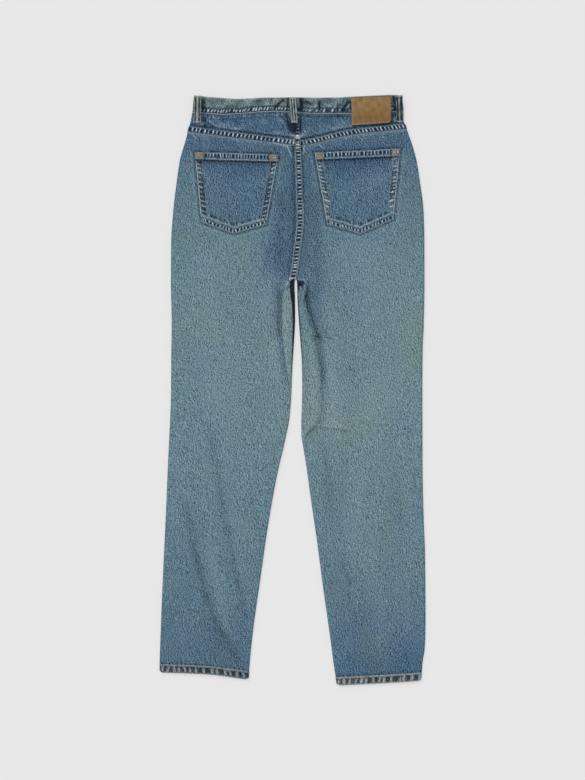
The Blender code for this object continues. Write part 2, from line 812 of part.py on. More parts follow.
def rivets(material):
    """A rivet at each end of the two front pocket mouths."""
    places = []
    for leg in (LEFT, RIGHT):
        for end, turn, along, drop in (("waist", 1.0, 6.0, 6.5), ("side", 0.12, 3.0, 6.0)):
            x, y = scoop_edge(leg, turn)
            places.append((f"rivet_{end}_{leg.name}", x + leg.inward * along, y - drop))
    for name, x, y in places:
        head = UNDER(y) - SEAM_GAP
        r = RIVET_RADIUS
        profile = ((r - 0.4, head), (r, head - 0.3), (r - 0.9, head - 0.9), (1.6, head - 1.0))
        turned(name, profile, (x, y, 0.0), material)


def finish(name, colour, roughness, metallic=0.0):
    """A plain material."""
    material = bpy.data.materials.new(name)
    material.use_nodes = True
    shader = material.node_tree.nodes["Principled BSDF"]
    shader.inputs["Base Color"].default_value = (*colour, 1.0)
    shader.inputs["Roughness"].default_value = roughness
    shader.inputs["Metallic"].default_value = metallic
    return material


for old in list(bpy.data.objects):
    bpy.data.objects.remove(old)
collection = bpy.data.collections.new("jeans")
bpy.context.scene.collection.children.link(collection)
garment = bpy.data.objects.new("garment", None)
collection.objects.link(garment)

denim = finish("denim", (0.135, 0.212, 0.255), 0.9)
pocket_denim = finish("pocket_denim", (0.082, 0.142, 0.205), 0.9)
leather = finish("leather", (0.27, 0.14, 0.055), 0.6)
copper = finish("copper", (0.55, 0.30, 0.18), 0.35, 1.0)

for part_leg, folds_over in ((LEFT, True), (RIGHT, False)):
    back_leg(part_leg, folds_over, denim)
    yoke(part_leg, folds_over, pocket_denim)
    front_leg(part_leg, denim)
    pocket_facing(part_leg, pocket_denim)
back_pocket("back_pocket_left", POCKET_LEFT, pocket_denim)
back_pocket("back_pocket_right", POCKET_RIGHT, pocket_denim)
coin_pocket(RIGHT, pocket_denim)
fly_shield(pocket_denim)
waistband(denim)
for loop_place in LOOPS:
    belt_loop(loop_place, denim)
waist_patch(leather)
waist_button(copper)
rivets(copper)
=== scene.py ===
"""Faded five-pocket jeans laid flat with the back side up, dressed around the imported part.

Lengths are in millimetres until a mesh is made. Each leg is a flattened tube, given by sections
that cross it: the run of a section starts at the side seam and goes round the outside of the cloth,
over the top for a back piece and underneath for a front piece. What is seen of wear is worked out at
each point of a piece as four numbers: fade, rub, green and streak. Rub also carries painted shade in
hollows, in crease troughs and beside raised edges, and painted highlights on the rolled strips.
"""

import logging
import math
from dataclasses import dataclass
from enum import Enum
from typing import Callable, NamedTuple, Sequence

import bpy
import numpy as np
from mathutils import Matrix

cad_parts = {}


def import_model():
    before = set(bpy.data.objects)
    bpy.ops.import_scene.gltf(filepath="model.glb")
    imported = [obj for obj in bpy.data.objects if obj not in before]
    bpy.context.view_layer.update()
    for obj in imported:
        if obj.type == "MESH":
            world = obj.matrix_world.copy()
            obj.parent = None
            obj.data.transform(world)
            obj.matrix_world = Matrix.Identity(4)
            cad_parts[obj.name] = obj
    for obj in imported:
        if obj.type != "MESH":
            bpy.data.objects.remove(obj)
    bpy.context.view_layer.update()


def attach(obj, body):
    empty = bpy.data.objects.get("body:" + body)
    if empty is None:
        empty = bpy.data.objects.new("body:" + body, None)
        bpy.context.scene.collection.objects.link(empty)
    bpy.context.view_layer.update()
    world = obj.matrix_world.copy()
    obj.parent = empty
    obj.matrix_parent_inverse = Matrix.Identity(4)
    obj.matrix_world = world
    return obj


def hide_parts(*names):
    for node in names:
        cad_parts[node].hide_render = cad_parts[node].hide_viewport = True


LOG = logging.getLogger("jeans")
MM = 0.001
BODY = "root"

Array = np.ndarray
Line = Callable[[Array], Array]
Socket = bpy.types.NodeSocket
Piece = bpy.types.Object

CLOTH = 1.2
SEAM_GAP = 0.3
FELL_WIDTH = 12.5
FELL_LIFT = 1.1
HEM_DEPTH = 16.0
HEM_LIFT = 1.0
BAND_UNDER = 3.2
BAND_TOP = 8.9
BAND_CLOTH = 2.2
SCOOP_WIDTH = 98.0
SCOOP_DEPTH = 74.0
INSET = 1.5
LOOP_WIDTH = 14.0
LOOP_CLOTH = 1.8
PATCH_THICK = 1.5
POCKET_HEM = 14.0
POCKET_HEM_LIFT = 0.8
CROTCH_Y = 200.0
WAIST_MIDDLE = 11.0
WAIST_HALF = 195.0
FRONT_DIP = 16.0
GAP_TOP = 206.0
GAP_FOOT = -40.0
BED = 0.05
FOLD_REACH = 2.2
STROKE_REACH = 1.2
THREAD_LIFT = 0.12
THREAD_UNDER = 0.05
THREAD_IN_FRONT = 0.1
SETTLING = 6
SHARP_ANGLE = 48.0
SCOOP_TOP = 512.0


def table(kind: type, *rows: tuple[float, ...]) -> tuple:
    """Rows of numbers, each turned into a named one."""
    return tuple(kind(*row) for row in rows)


class Level(NamedTuple):
    """Heights of the garment's lower and upper outside where y is that."""

    y: float
    under: float
    top: float


LEVELS = table(
    Level,
    (-560, 0, 5), (-300, 0, 5.4), (0, 0, 5.8), (200, 0, 7), (330, 0, 6.6), (450, 2.4, 7.2), (495, 3.2, 7.5),
    (560, 3.2, 7.5),
)


class Side(NamedTuple):
    """x of the two outer edges."""

    y: float
    left: float
    right: float


SIDES = table(
    Side,
    (548, -180.7, 201.7), (522, -183.2, 205.9), (497, -187.3, 206.4), (486, -190.2, 210.4),
    (459, -197.4, 220.2), (425, -207.2, 230), (388, -212.8, 236), (329, -219.8, 243.3),
    (270, -223.5, 244.8), (196, -223.9, 244.9), (118, -222.4, 243.5), (74, -223.2, 241.6),
    (-15, -223.9, 241.1), (-60, -225.7, 241.2), (-150, -230, 241.5), (-237, -233.6, 243.5),
    (-303, -236.8, 246), (-414, -241.7, 246.9), (-459, -243.3, 246.4), (-481, -244.2, 245),
    (-503, -244.8, 241.6), (-550, -245.2, 238.2),
)


class Centre(NamedTuple):
    """x of the seat seam."""

    y: float
    x: float


CENTRE_SEAM = table(
    Centre,
    (560, 14.5), (512, 15.2), (486, 15.9), (444, 17.2), (407, 18.9), (360, 20.2), (315, 21.1), (281, 18.5),
    (252, 14.6), (224, 11.2), (206, 7.6),
)


class Inner(NamedTuple):
    """The inner edge below the crotch, how far the inseam has rolled on top, and the strip it shows."""

    y: float
    x: float
    turn: float = 0.0
    strip: float = 0.0


INNER_LEFT = table(
    Inner,
    (200, 5), (193, 4.8, 0.8, 4), (184, 5, 1, 14), (174, 5.6, 1, 20.5), (133, 5.9, 1, 22.5),
    (92, 4, 1, 18.5), (46, 1, 1, 10.5), (9, -0.4, 1, 3), (-18, -1.6, 0.6), (-46, -4.1), (-60, -5.7),
    (-81, -10.2), (-104, -14.9), (-126, -20.4), (-170, -30), (-259, -45.5), (-348, -58.3), (-437, -70.9),
    (-481, -75.9), (-550, -82),
)
INNER_RIGHT = table(
    Inner,
    (200, 9.2), (193, 9.4, 0.8, 5), (184, 9.6, 1, 9.3), (174, 9.8, 1, 10.4), (133, 12.2, 1, 16.5),
    (92, 15.3, 1, 24.8), (46, 18.4, 1, 31), (7, 18.9, 1, 34.4), (-40, 17.7, 1, 34), (-65, 17, 1, 27),
    (-85, 17.4, 0.9, 7), (-104, 20.4), (-148, 27.4), (-192, 33.3), (-281, 46.3), (-370, 57.9), (-459, 70.7),
    (-503, 76.4), (-550, 84),
)


class Across(NamedTuple):
    """Height on the garment of a seam or edge that runs across it."""

    x: float
    y: float


WAIST_TOP = table(
    Across,
    (-184, 544.5), (-140, 540.5), (-99, 537.8), (-54, 540.2), (8, 540.6), (65, 540.2), (110, 541.8),
    (183, 545), (205, 543.8),
)
WAIST_SEAM = table(
    Across,
    (-185, 512.1), (-126, 508), (-40, 513.2), (8, 511.9), (50, 509.4), (107, 509.4), (185, 513),
    (206, 512.5),
)
YOKE_SEAM = table(
    Across,
    (-190, 487.5), (-94, 475), (2, 463.5), (17, 462), (32, 464), (104, 480.5), (210, 493),
)
HEM_LEFT = (Across(-245, -522.3), Across(-160, -525.5), Across(-81, -535.7))
HEM_RIGHT = (Across(84, -546.3), Across(155, -543.0), Across(238, -537.8))


class Mark(NamedTuple):
    """A soft straight mark: a ridge, or pale wear, or where it is below zero a trough or dark wear."""

    x0: float
    y0: float
    x1: float
    y1: float
    half_width: float
    height: float


FOLDS = table(
    Mark,
    (-22, 330, -25, 228, 13, -1.3), (44, 325, 50, 190, 13, -1.4), (-34, 170, -26, 40, 18, 2.4),
    (62, 120, 74, -50, 22, 2.6), (-186, -225, -172, -330, 12, -0.9), (-170, -330, -146, -440, 12, -1.3),
    (-146, -440, -100, -505, 13, -1.4), (-140, -120, -112, -330, 13, -1), (-112, -330, -86, -450, 11, -1.4),
    (-150, -300, -118, -440, 13, 1.4), (60, -110, 78, -230, 14, -1), (120, -180, 112, -300, 15, 0.9),
    (180, -120, 196, -330, 18, -0.9), (150, -330, 170, -480, 18, 1), (-150, 180, -140, 0, 30, 1),
    (150, 190, 158, 10, 30, 1.1),
)
# Finer creases than the solid cloth has: beside the crotch, under the seat and on the shins.
CREASES = table(
    Mark,
    (-12, 300, -20, 236, 5, -0.6), (-34, 268, -44, 236, 6, -0.5), (30, 262, 38, 210, 6, -0.6),
    (-8, 226, -22, 180, 5, -0.7), (22, 214, 36, 178, 5, -0.8), (60, 60, 66, -60, 7, -0.5),
    (-60, -20, -70, -90, 9, -0.4), (96, -140, 88, -220, 8, -0.5), (-196, -215, -187, -250, 6, -0.5),
    (-124, -224, -118, -262, 6, -0.6), (-159, -381, -145, -418, 6, -0.6), (-98, -360, -88, -410, 6, -0.6),
    (120, 40, 190, 52, 10, -0.3), (-120, 30, -190, 44, 10, -0.3),
)
# Soft marks on the upper side, which have rub in place of height: painted shade in the hollows at the
# crotch, beside the rolled strips, in the troughs under the seat and along the shin creases, under and
# beside the centre loop, beside the left belt loop and below the leather patch; painted highlight on the
# rim of the right strip; and pale and dark streaks of wear.


WEAR_AND_SHADING_STROKES = table(
    Mark,
    (12.5, 198.6, 20.5, 198, 3, -1.5), (12, 195, 18.5, 194.2, 2.4, -1.3), (11.2, 200, 11.4, 188, 2.2, -1.4),
    (10, 204.8, 24, 204, 1.4, 0.4), (24.6, 201, 21.3, 171, 2, 0.7), (21.5, 168, 41, 102, 1.8, 0.3),
    (30, 196, 26.5, 175, 4, -0.45), (25.5, 170, 47, 100, 5.5, -0.42), (37, 176, 60, 100, 12, -0.24),
    (23, 224, 36, 206, 1.3, 0.18), (30, 224, 41, 208, 1.2, 0.15), (24, 216, 37, 197, 1.6, -0.2),
    (30, 204, 36, 190, 1.2, 0.18), (40, 216, 48, 200, 1.2, 0.13), (50, 98, 58, 20, 5, -0.3),
    (-8, 209, -8.8, 197, 1.6, 0.4), (-10, 196, -13.5, 182, 1.8, 0.3), (-25, 192, -26.5, 100, 6, -0.28),
    (-36, 200, -36, 110, 12, -0.12), (-20, 361, -24, 231, 8, -0.16), (-46, 262, -48, 228, 6, -0.16),
    (48, 361, 48, 185, 9, -0.14), (3.5, 491, 3.5, 480, 7.5, -1.5), (15.5, 508, 16.5, 478, 2.4, -0.9),
    (114, 487.6, 176, 490.2, 1.5, -1.3), (176, 490.2, 184, 496, 1.7, -1.1), (185, 496, 185.4, 510, 2, -0.9),
    (-10, 508, -4, 481, 2.4, -0.7), (1, 470.5, 13, 468, 4.5, 0.7), (7.5, 460, 10.5, 460, 1.7, -1.6),
    (11, 456, 11, 448, 3.6, 0.5), (18.8, 457, 18.4, 444, 1.3, -0.9), (3.2, 454, 3.4, 440, 1.3, -0.7),
    (-33, 456, -9, 450.5, 1.3, 0.4), (-8, 449, 0, 430, 1.7, 0.5), (21.5, 450, 20.5, 430, 1.7, 0.5),
    (-163, 500, -160, 489, 3, -0.7), (-160, 497, -144, 486, 1.2, -0.5), (-157, 500, -141, 488, 1.1, 0.4),
    (-148, 504, -124, 489, 1, 0.2), (-126, 500, -112, 490, 1, 0.2), (-118, 506, -96, 493, 1.1, -0.2),
    (-28, 504, -12, 491, 1.1, 0.25), (-23, 508, -8, 494, 1.6, -0.5), (60, 490, 84, 478, 1.3, 0.2),
    (52, -71, 100, -75, 3, -0.25), (54, -65, 96, -68, 3, 0.12), (92, -316, 107, -357, 3.5, -0.25),
    (-196, -215, -178, -303, 7, -0.14), (-178, -303, -159, -381, 6, -0.2),
    (-159, -381, -130, -450, 6, -0.2), (-130, -450, -98, -502, 6, -0.22), (-148, -81, -134, -180, 8, -0.1),
    (-134, -180, -120, -259, 7, -0.14), (-120, -259, -100, -351, 7, -0.16),
    (-100, -351, -85, -420, 6, -0.18), (61, -111, 70, -204, 7, -0.12), (191, -148, 200, -240, 8, -0.08),
)
# The waistband's have their height above its seam in place of y: painted shadow beside the belt loops
# and the leather patch, and darker and paler smears of wear.
BAND_WEAR_AND_SHADING_STROKES = table(
    Mark,
    (-163.5, 5, -163.5, 25, 3.8, -0.95), (-30, 10, -17, 22, 2.8, -1), (-40, 16, -38, 24, 2, -0.8),
    (-8, 4, -8, 26, 2, -1.1), (-70, 20, -58, 22, 3, -0.3), (-120, 15, -100, 13, 2.5, -0.3),
    (18, 4, 16.5, 26, 4.2, -1.1), (26, 21, 34, 18, 3, -1), (50, 22, 51, 6, 2.2, -0.9),
    (79, 5, 88, 18, 2, -0.8), (92, 6, 104, 22, 2.6, -1), (108, 23, 108, 4, 1.6, -1),
    (99, 7, 107, 19, 1.3, 0.5), (75, 7, 82, 16, 1.3, 0.45), (30, 4, 36, 13, 1.4, 0.5),
    (42, 12, 46, 20, 1.8, 0.35), (188, 4, 189, 26, 4, -0.9),
)


class Gap(NamedTuple):
    """Width of the valley between the rolled-over strip and the inner edge, which is sunk and painted dark as
    shade.
    """

    y: float
    left: float
    right: float


GAPS = table(
    Gap,
    (206, 0, 0), (200, 9, 3), (186, 8.6, 2.4), (168, 7.6, 1.6), (160, 5.6, 1.8), (133, 4.8, 2.2),
    (92, 3.4, 1.8), (46, 1.8, 1.2), (12, 0, 0.6), (-40, 0, 0),
)


class Fade(NamedTuple):
    """A soft patch of the upper side where the dye is lighter or greener than around it."""

    x: float
    y: float
    reach_x: float
    reach_y: float
    fade: float
    green: float


class Tone(NamedTuple):
    """How faded the cloth is along the garment: 0 is the deepest blue left, 1 the palest."""

    y: float
    fade: float


TONES = table(
    Tone,
    (545, 0.15), (500, 0.08), (465, 0.04), (435, 0.20), (380, 0.34), (300, 0.46), (250, 0.58), (160, 0.60),
    (60, 0.62), (-40, 0.64), (-140, 0.60), (-260, 0.50), (-380, 0.40), (-470, 0.24), (-525, 0.14),
)
FADES = table(
    Fade,
    (10, 320, 42, 110, -0.36, -0.1), (-26, 245, 30, 45, -0.30, -0.1), (34, 200, 34, 60, -0.18, -0.1),
    (-190, 330, 40, 100, 0, 0.25), (205, 330, 40, 100, 0.02, 0.30), (-150, 150, 60, 60, 0.04, 0.35),
    (-190, 170, 30, 60, 0.02, 0.30), (-110, -30, 60, 50, 0.05, 0.35), (220, 70, 26, 70, 0.12, 0.75),
    (190, 150, 60, 60, 0.05, 0.20), (36, -30, 20, 50, 0.05, 0.45), (150, -60, 90, 60, 0.05, 0.15),
    (-180, 60, 40, 50, -0.06, -0.2), (-190, -70, 50, 40, -0.08, -0.2), (-190, -330, 40, 90, -0.06, -0.1),
    (-100, -300, 26, 90, 0.10, 0.1), (150, -230, 50, 80, 0.08, 0.1), (200, -360, 40, 70, 0.04, 0.1),
    (145, -476, 26, 26, 0.10, 0.9), (110, -420, 30, 60, -0.05, 0), (160, -500, 80, 50, -0.10, 0),
    (60, 130, 40, 90, -0.08, 0),
)

Corner = tuple[float, float]


class Corners(NamedTuple):
    """The five corners of a back pocket, or of the patch with tip on its lower edge."""

    top_left: Corner
    top_right: Corner
    bottom_right: Corner
    tip: Corner
    bottom_left: Corner


POCKET_LEFT = Corners((-179.6, 440.0), (-24.8, 435.7), (-48.1, 305.4), (-108.0, 288.4), (-167.6, 311.0))
POCKET_RIGHT = Corners((41.6, 439.2), (200.2, 446.2), (187.4, 315.2), (126.5, 288.4), (65.1, 306.2))
PATCH = Corners((109.7, 541.0), (182.8, 543.4), (184.0, 493.6), (148.0, 491.4), (110.6, 489.3))


class Curve:
    """A smooth line through points, which stays between neighbouring values."""

    def __init__(self, xs: Sequence[float], ys: Sequence[float]) -> None:
        """Sort the points and give each a slope.

        Args:
            xs: where each point is.
            ys: its value.
        """
        order = np.argsort(xs)
        self.xs = np.asarray(xs, float)[order]
        self.ys = np.asarray(ys, float)[order]
        rises = np.diff(self.ys) / np.diff(self.xs)
        a, b = rises[:-1], rises[1:]
        total = np.where(a * b > 0, a + b, 1.0)
        inner = np.where(a * b > 0, 2 * a * b / total, 0.0)
        self.slopes = np.concatenate([rises[:1], inner, rises[-1:]])

    def __call__(self, x: Array) -> Array:
        """Read the line at each x, going straight on past its ends."""
        x = np.asarray(x, float)
        xs, ys, slopes = self.xs, self.ys, self.slopes
        k = np.clip(np.searchsorted(xs, x, side="right") - 1, 0, len(xs) - 2)
        width = xs[k + 1] - xs[k]
        t = np.clip((x - xs[k]) / width, 0.0, 1.0)
        inside = (
            (2 * t**3 - 3 * t**2 + 1) * ys[k]
            + (t**3 - 2 * t**2 + t) * width * slopes[k]
            + (3 * t**2 - 2 * t**3) * ys[k + 1]
            + (t**3 - t**2) * width * slopes[k + 1]
        )
        before = np.minimum(x - xs[0], 0.0) * slopes[0]
        after = np.maximum(x - xs[-1], 0.0) * slopes[-1]
        return inside + before + after


def column(table: Sequence[NamedTuple], x_name: str, y_name: str) -> Curve:
    """The curve of one named column of a table against another."""
    return Curve([getattr(r, x_name) for r in table], [getattr(r, y_name) for r in table])


def mix(a: Array, b: Array, t: Array) -> Array:
    """The value t of the way from a to b."""
    return a + (b - a) * t


def ease(t: Array) -> Array:
    """0 to 1 with level ends."""
    t = np.clip(t, 0.0, 1.0)
    return t * t * (3 - 2 * t)


def bell(d: Array) -> Array:
    """1 at nothing, falling off smoothly either way."""
    return np.exp(-(np.asarray(d, float) ** 2))


def between(value: Array, first: float, last: float, soft: float) -> Array:
    """1 from first to last, with eased ends that far across, and 0 outside."""
    return ease((value - first) / soft) * ease((last - value) / soft)


def marked(away: Array, *marks: tuple[float, float, float]) -> Array:
    """What soft bands beside an edge add: for each its amount, how far away it lies, and its reach."""
    return sum(amount * bell((away - place) / reach) for amount, place, reach in marks)


def stacked(x: Array, y: Array, z: Array) -> Array:
    """Points from their x, y and z."""
    return np.stack([x, y, z], axis=-1)


UNDER = column(LEVELS, "y", "under")
TOP = column(LEVELS, "y", "top")
TONE = column(TONES, "y", "fade")
waist_top = column(WAIST_TOP, "x", "y")
waist_seam = column(WAIST_SEAM, "x", "y")
yoke_seam = column(YOKE_SEAM, "x", "y")
centre_seam = column(CENTRE_SEAM, "y", "x")


def front_dip(x: Array) -> Array:
    """How far the front waist lies below the back one: nothing at the sides."""
    across = np.minimum(1.0, np.abs(np.asarray(x, float) - WAIST_MIDDLE) / WAIST_HALF)
    return FRONT_DIP * (1 - across**2) ** 2


def front_waist_seam(x: Array) -> Array:
    """Height on the garment of the waistband's lower edge in front."""
    return waist_seam(x) - front_dip(x)


def front_waist_top(x: Array) -> Array:
    """Height on the garment of the waistband's upper edge in front."""
    return waist_top(x) - front_dip(x)


def lowered(line: Line, by: float) -> Line:
    """The same line, further down the garment."""
    return lambda x: line(x) - by


def level_line(y: float) -> Line:
    """A line straight across the garment."""
    return lambda x: np.full(np.shape(x), float(y))


def line_mix(a: Line, b: Line, t: float) -> Line:
    """A line between two others."""
    return lambda x: mix(a(x), b(x), t)


def filled(lines: Sequence[Line], pitch: float) -> list[Line]:
    """Lines with more of them between, no further apart than pitch.

    Args:
        lines: lines from the top down.
        pitch: the most that neighbours may be apart.

    Returns:
        The lines and those between them.
    """
    probes = np.array([-210.0, -100.0, 10.0, 110.0, 220.0])
    rows: list[Line] = []
    for a, b in zip(lines, lines[1:]):
        count = max(1, math.ceil(float(np.abs(a(probes) - b(probes)).max()) / pitch))
        rows += [line_mix(a, b, k / count) for k in range(count)]
    return rows + [lines[-1]]


def soft_lines(x: Array, y: Array, lines: Sequence[NamedTuple], reach: float) -> Array:
    """The sum of soft straight marks at each place.

    Args:
        x: across the garment.
        y: along it.
        lines: marks.
        reach: how far a mark goes on past its ends, in its half widths.

    Returns:
        Height or rub.
    """
    total = np.zeros(np.broadcast(x, y).shape)
    for x0, y0, x1, y1, half_width, value in lines:
        dx, dy = x1 - x0, y1 - y0
        length = math.hypot(dx, dy)
        along = ((x - x0) * dx + (y - y0) * dy) / length
        off = np.abs((x - x0) * dy - (y - y0) * dx) / length
        end = np.maximum(0.0, np.maximum(-along, along - length))
        total += value * np.exp(-((off / half_width) ** 2) - (end / (reach * half_width)) ** 2)
    return total


def fold_relief(x: Array, y: Array) -> Array:
    """Height that the main soft folds add at each place."""
    return soft_lines(x, y, FOLDS, FOLD_REACH)


def crease_relief(x: Array, y: Array) -> Array:
    """Height that the finer creases add at each place."""
    return soft_lines(x, y, CREASES, FOLD_REACH)


def stroke_rub_and_shading(x: Array, y: Array) -> Array:
    """Rub that the soft marks of the upper side add at each place: painted shade, painted highlight and
    streaks of wear.
    """
    return soft_lines(x, y, WEAR_AND_SHADING_STROKES, STROKE_REACH)


def ripple(x: Array, y: Array, wavelength: float, seed: int, count: int = 6) -> Array:
    """Smooth uneven waves about zero, of about unit height.

    Args:
        x: across the garment.
        y: along it.
        wavelength: the usual distance between crests.
        seed: which pattern.
        count: how many waves are added.

    Returns:
        The height at each place.
    """
    rng = np.random.default_rng(seed)
    total = np.zeros(np.broadcast(x, y).shape)
    for _ in range(count):
        angle, phase = rng.uniform(0, 2 * math.pi, 2)
        rate = 2 * math.pi / (wavelength * rng.uniform(0.7, 1.4))
        total += np.sin(rate * (np.cos(angle) * x + np.sin(angle) * y) + phase)
    return total / math.sqrt(count)


class Rungs:
    """Uneven bars along a seam, where shrunk thread has gathered the cloth between its stitches."""

    def __init__(
        self,
        length: float,
        pitch: float,
        seed: int,
        lean: float = 0.0,
        jitter: float = 0.32,
        fullness: float = 0.44,
    ) -> None:
        """Place the bars.

        Args:
            length: how long the seam is.
            pitch: the usual distance between bars.
            seed: which pattern.
            lean: how far a bar runs along the seam for each millimetre across it.
            jitter: how uneven the distances are.
            fullness: half the usual width of a bar, as a share of the pitch.
        """
        rng = np.random.default_rng(seed)
        steps = pitch * rng.uniform(1 - jitter, 1 + jitter, int(length / pitch * 1.6) + 8)
        self.centres = np.cumsum(steps) - 2 * pitch
        self.halves = pitch * fullness * rng.uniform(0.82, 1.18, len(steps))
        self.heights = rng.uniform(0.55, 1.0, len(steps))
        self.floors = rng.uniform(0.7, 1.1, len(steps))
        self.leans = lean + rng.normal(0.0, 0.5 * jitter, len(steps))

    def __call__(self, along: Array, across: Array) -> Array:
        """From -1 between bars to 1 on the crest of a strong one."""
        k = np.searchsorted(self.centres, along)
        k = np.clip(k, 1, len(self.centres) - 1)
        near = np.where(along - self.centres[k - 1] < self.centres[k] - along, k - 1, k)
        off = along + self.leans[near] * across - self.centres[near]
        crest = ease(np.cos(np.clip(off / self.halves[near], -1, 1) * math.pi / 2) ** 2)
        return crest * (self.heights[near] + self.floors[near]) - self.floors[near]


@dataclass
class Leg:
    """One leg with its half of the seat: its outline and where its seams lie."""

    name: str
    inward: int
    inner: Sequence[Inner]
    hem_points: Sequence[Across]
    seed: int

    def __post_init__(self) -> None:
        """Make the curves of the tables' columns."""
        self.side = column(SIDES, "y", self.name)
        self.inner_x = column(self.inner, "y", "x")
        self.turn = column(self.inner, "y", "turn")
        self.strip = column(self.inner, "y", "strip")
        self.hem = column(self.hem_points, "x", "y")
        self.gap = column(GAPS, "y", self.name)

    def sheltered_and_shaded(self, x: Array, y: Array) -> Array:
        """1 in the valley between the rolled-over strip and the inner edge, 0 outside it; there the cloth is
        sunk and painted dark as shade.
        """
        width = np.where((y < GAP_TOP) & (y > GAP_FOOT), np.maximum(self.gap(y), 0.0), 0.0)
        inside = width - np.abs(self.inner_edge(y) - x)
        return ease(inside / 1.6 + 0.4) * ease(width / 1.2)

    def inner_edge(self, y: Array) -> Array:
        """x of the centre seam above the crotch, or of the inner fold below it."""
        y = np.asarray(y, float)
        joined = ease((y - CROTCH_Y) / 6)
        return mix(self.inner_x(np.minimum(y, CROTCH_Y)), centre_seam(np.maximum(y, GAP_TOP)), joined)

    def turns(self, y: float) -> tuple[float, float]:
        """Where the back and front pieces end on the inner fold: 1 on top, 0 on it, -1 below."""
        if y <= CROTCH_Y:
            turn = float(np.clip(self.turn(y), 0.0, 1.0))
            return turn, turn
        open_out = float(ease((y - CROTCH_Y) / 14))
        return open_out, -open_out

    def shown_strip(self, y: Array) -> Array:
        """How much of the front piece shows on top."""
        return np.where(np.asarray(y) <= CROTCH_Y, np.maximum(0.0, self.strip(y)), 0.0)

    def inseam_x(self, y: Array) -> Array:
        """x of the inseam where it has rolled on top."""
        return self.inner_edge(y) - self.inward * (TOP(y) / 2 + self.shown_strip(y))

    def relief(self, x: Array, y: Array) -> Array:
        """Height that folds, creases and the roll beside the inseam add to the upper side."""
        from_side = np.abs(x - self.side(y))
        from_inner = np.abs(self.inner_edge(y) - x)
        below = ease((CROTCH_Y + 12 - y) / 14)
        inside = ease(from_side / 12) * mix(1.0, ease(from_inner / 9), below)
        fine = crease_relief(x, y) + 0.45 * ripple(x, y, 95, self.seed)
        fine += 0.16 * ripple(x, y, 34, self.seed + 1)
        strip = self.shown_strip(y)
        off = (x - self.inseam_x(y)) * self.inward
        middle = (strip + self.gap(np.clip(y, GAP_FOOT, GAP_TOP))) * 0.5
        roll = -1.8 * bell(off / 4.5) + 1.3 * bell((off - strip + middle) / np.maximum(strip * 0.34, 2.0))
        roll = roll * ease((strip - 1.5) / 8) - 2.6 * self.sheltered_and_shaded(x, y)
        return fold_relief(x, y) + inside * fine + roll

    def top_at(self, x: Array, y: Array) -> Array:
        """Outside height of the upper cloth."""
        return TOP(y) + self.relief(x, y)


HEM_WORN = {"left": -0.03, "right": 0.12}
LEFT = Leg("left", 1, INNER_LEFT, HEM_LEFT, 11)
RIGHT = Leg("right", -1, INNER_RIGHT, HEM_RIGHT, 23)


class Section:
    """The flattened tube of one leg where a line y(x) crosses it."""

    def __init__(self, leg: Leg, line: Line) -> None:
        """Find the section's ends and seams.

        Args:
            leg: whose section it is.
            line: y at each x.
        """
        self.leg, self.line = leg, line
        self.side_x = float(leg.side(line(leg.side(0.0))))
        for _ in range(SETTLING):
            self.side_x = float(leg.side(line(self.side_x)))
        self.inner_x = float(leg.inner_edge(line(0.0)))
        for _ in range(SETTLING):
            self.inner_x = float(leg.inner_edge(line(self.inner_x)))
        self.inner_y = float(line(self.inner_x))
        self.side_y = float(line(self.side_x))
        self.r_side = float(TOP(self.side_y) - UNDER(self.side_y)) / 2
        self.r_fold = float(TOP(self.inner_y) - UNDER(self.inner_y)) / 2
        back_turn, front_turn = leg.turns(self.inner_y)
        spread = 1 - math.cos(math.pi * (back_turn - front_turn) / 4)
        self.width = abs(self.inner_x - self.side_x) + self.r_fold * spread
        self.side_arc = self.r_side * math.pi / 2
        self.fold_arc = self.r_fold * math.pi / 2
        self.fold_start = self.side_arc + self.width - self.r_side - self.r_fold
        strip = float(leg.shown_strip(self.inner_y))
        self.back_end = self.fold_start + self.fold_arc * (1 - back_turn) - strip
        self.front_end = self.fold_start + self.fold_arc * (1 + front_turn) + strip

    def points(self, runs: Array, upper: bool, out: Array = 0.0) -> Array:
        """Places along the outside of the cloth.

        Args:
            runs: how far each is from the side seam.
            upper: whether the run starts over the top.
            out: how far each is moved out from the outside.

        Returns:
            An array of one x, y, z for each run.
        """
        past = runs - self.fold_start
        on_side = runs < self.side_arc
        on_fold = (past > 0) & (past <= 2 * self.fold_arc)
        beyond = past > 2 * self.fold_arc
        side_angle = runs / self.r_side
        fold_angle = past / self.r_fold
        across = self.r_side + runs - self.side_arc
        across = np.where(on_side, self.r_side - (self.r_side + out) * np.cos(side_angle), across)
        folded = self.width - self.r_fold + (self.r_fold + out) * np.sin(fold_angle)
        across = np.where(on_fold, folded, across)
        across = np.where(beyond, self.width - self.r_fold - (past - 2 * self.fold_arc), across)
        x = self.side_x + self.leg.inward * across
        y = self.line(x)
        sign = 1 if upper else -1
        on_top = ~beyond if upper else beyond
        flat = np.where(on_top, self.leg.top_at(x, y) + out, UNDER(y) - out)
        side_middle = float(TOP(self.side_y) + UNDER(self.side_y)) / 2
        fold_middle = float(TOP(self.inner_y) + UNDER(self.inner_y)) / 2
        z = np.where(on_side, side_middle + sign * (self.r_side + out) * np.sin(side_angle), flat)
        z = np.where(on_fold, fold_middle + sign * (self.r_fold + out) * np.cos(fold_angle), z)
        return stacked(x, y, z)

    def run_at(self, x: float) -> float:
        """The run from the side seam of a place on the flat part."""
        return self.side_arc + abs(x - self.side_x) - self.r_side


def lay(sections: Sequence[Section], runs: Sequence[Array], out: Array = 0.0, upper: bool = True) -> Array:
    """A grid of places: a section and its runs for each row, and how far out each place is moved."""
    outs = np.broadcast_to(out, np.shape(runs))
    return np.array([s.points(r, upper, u) for s, r, u in zip(sections, runs, outs)])


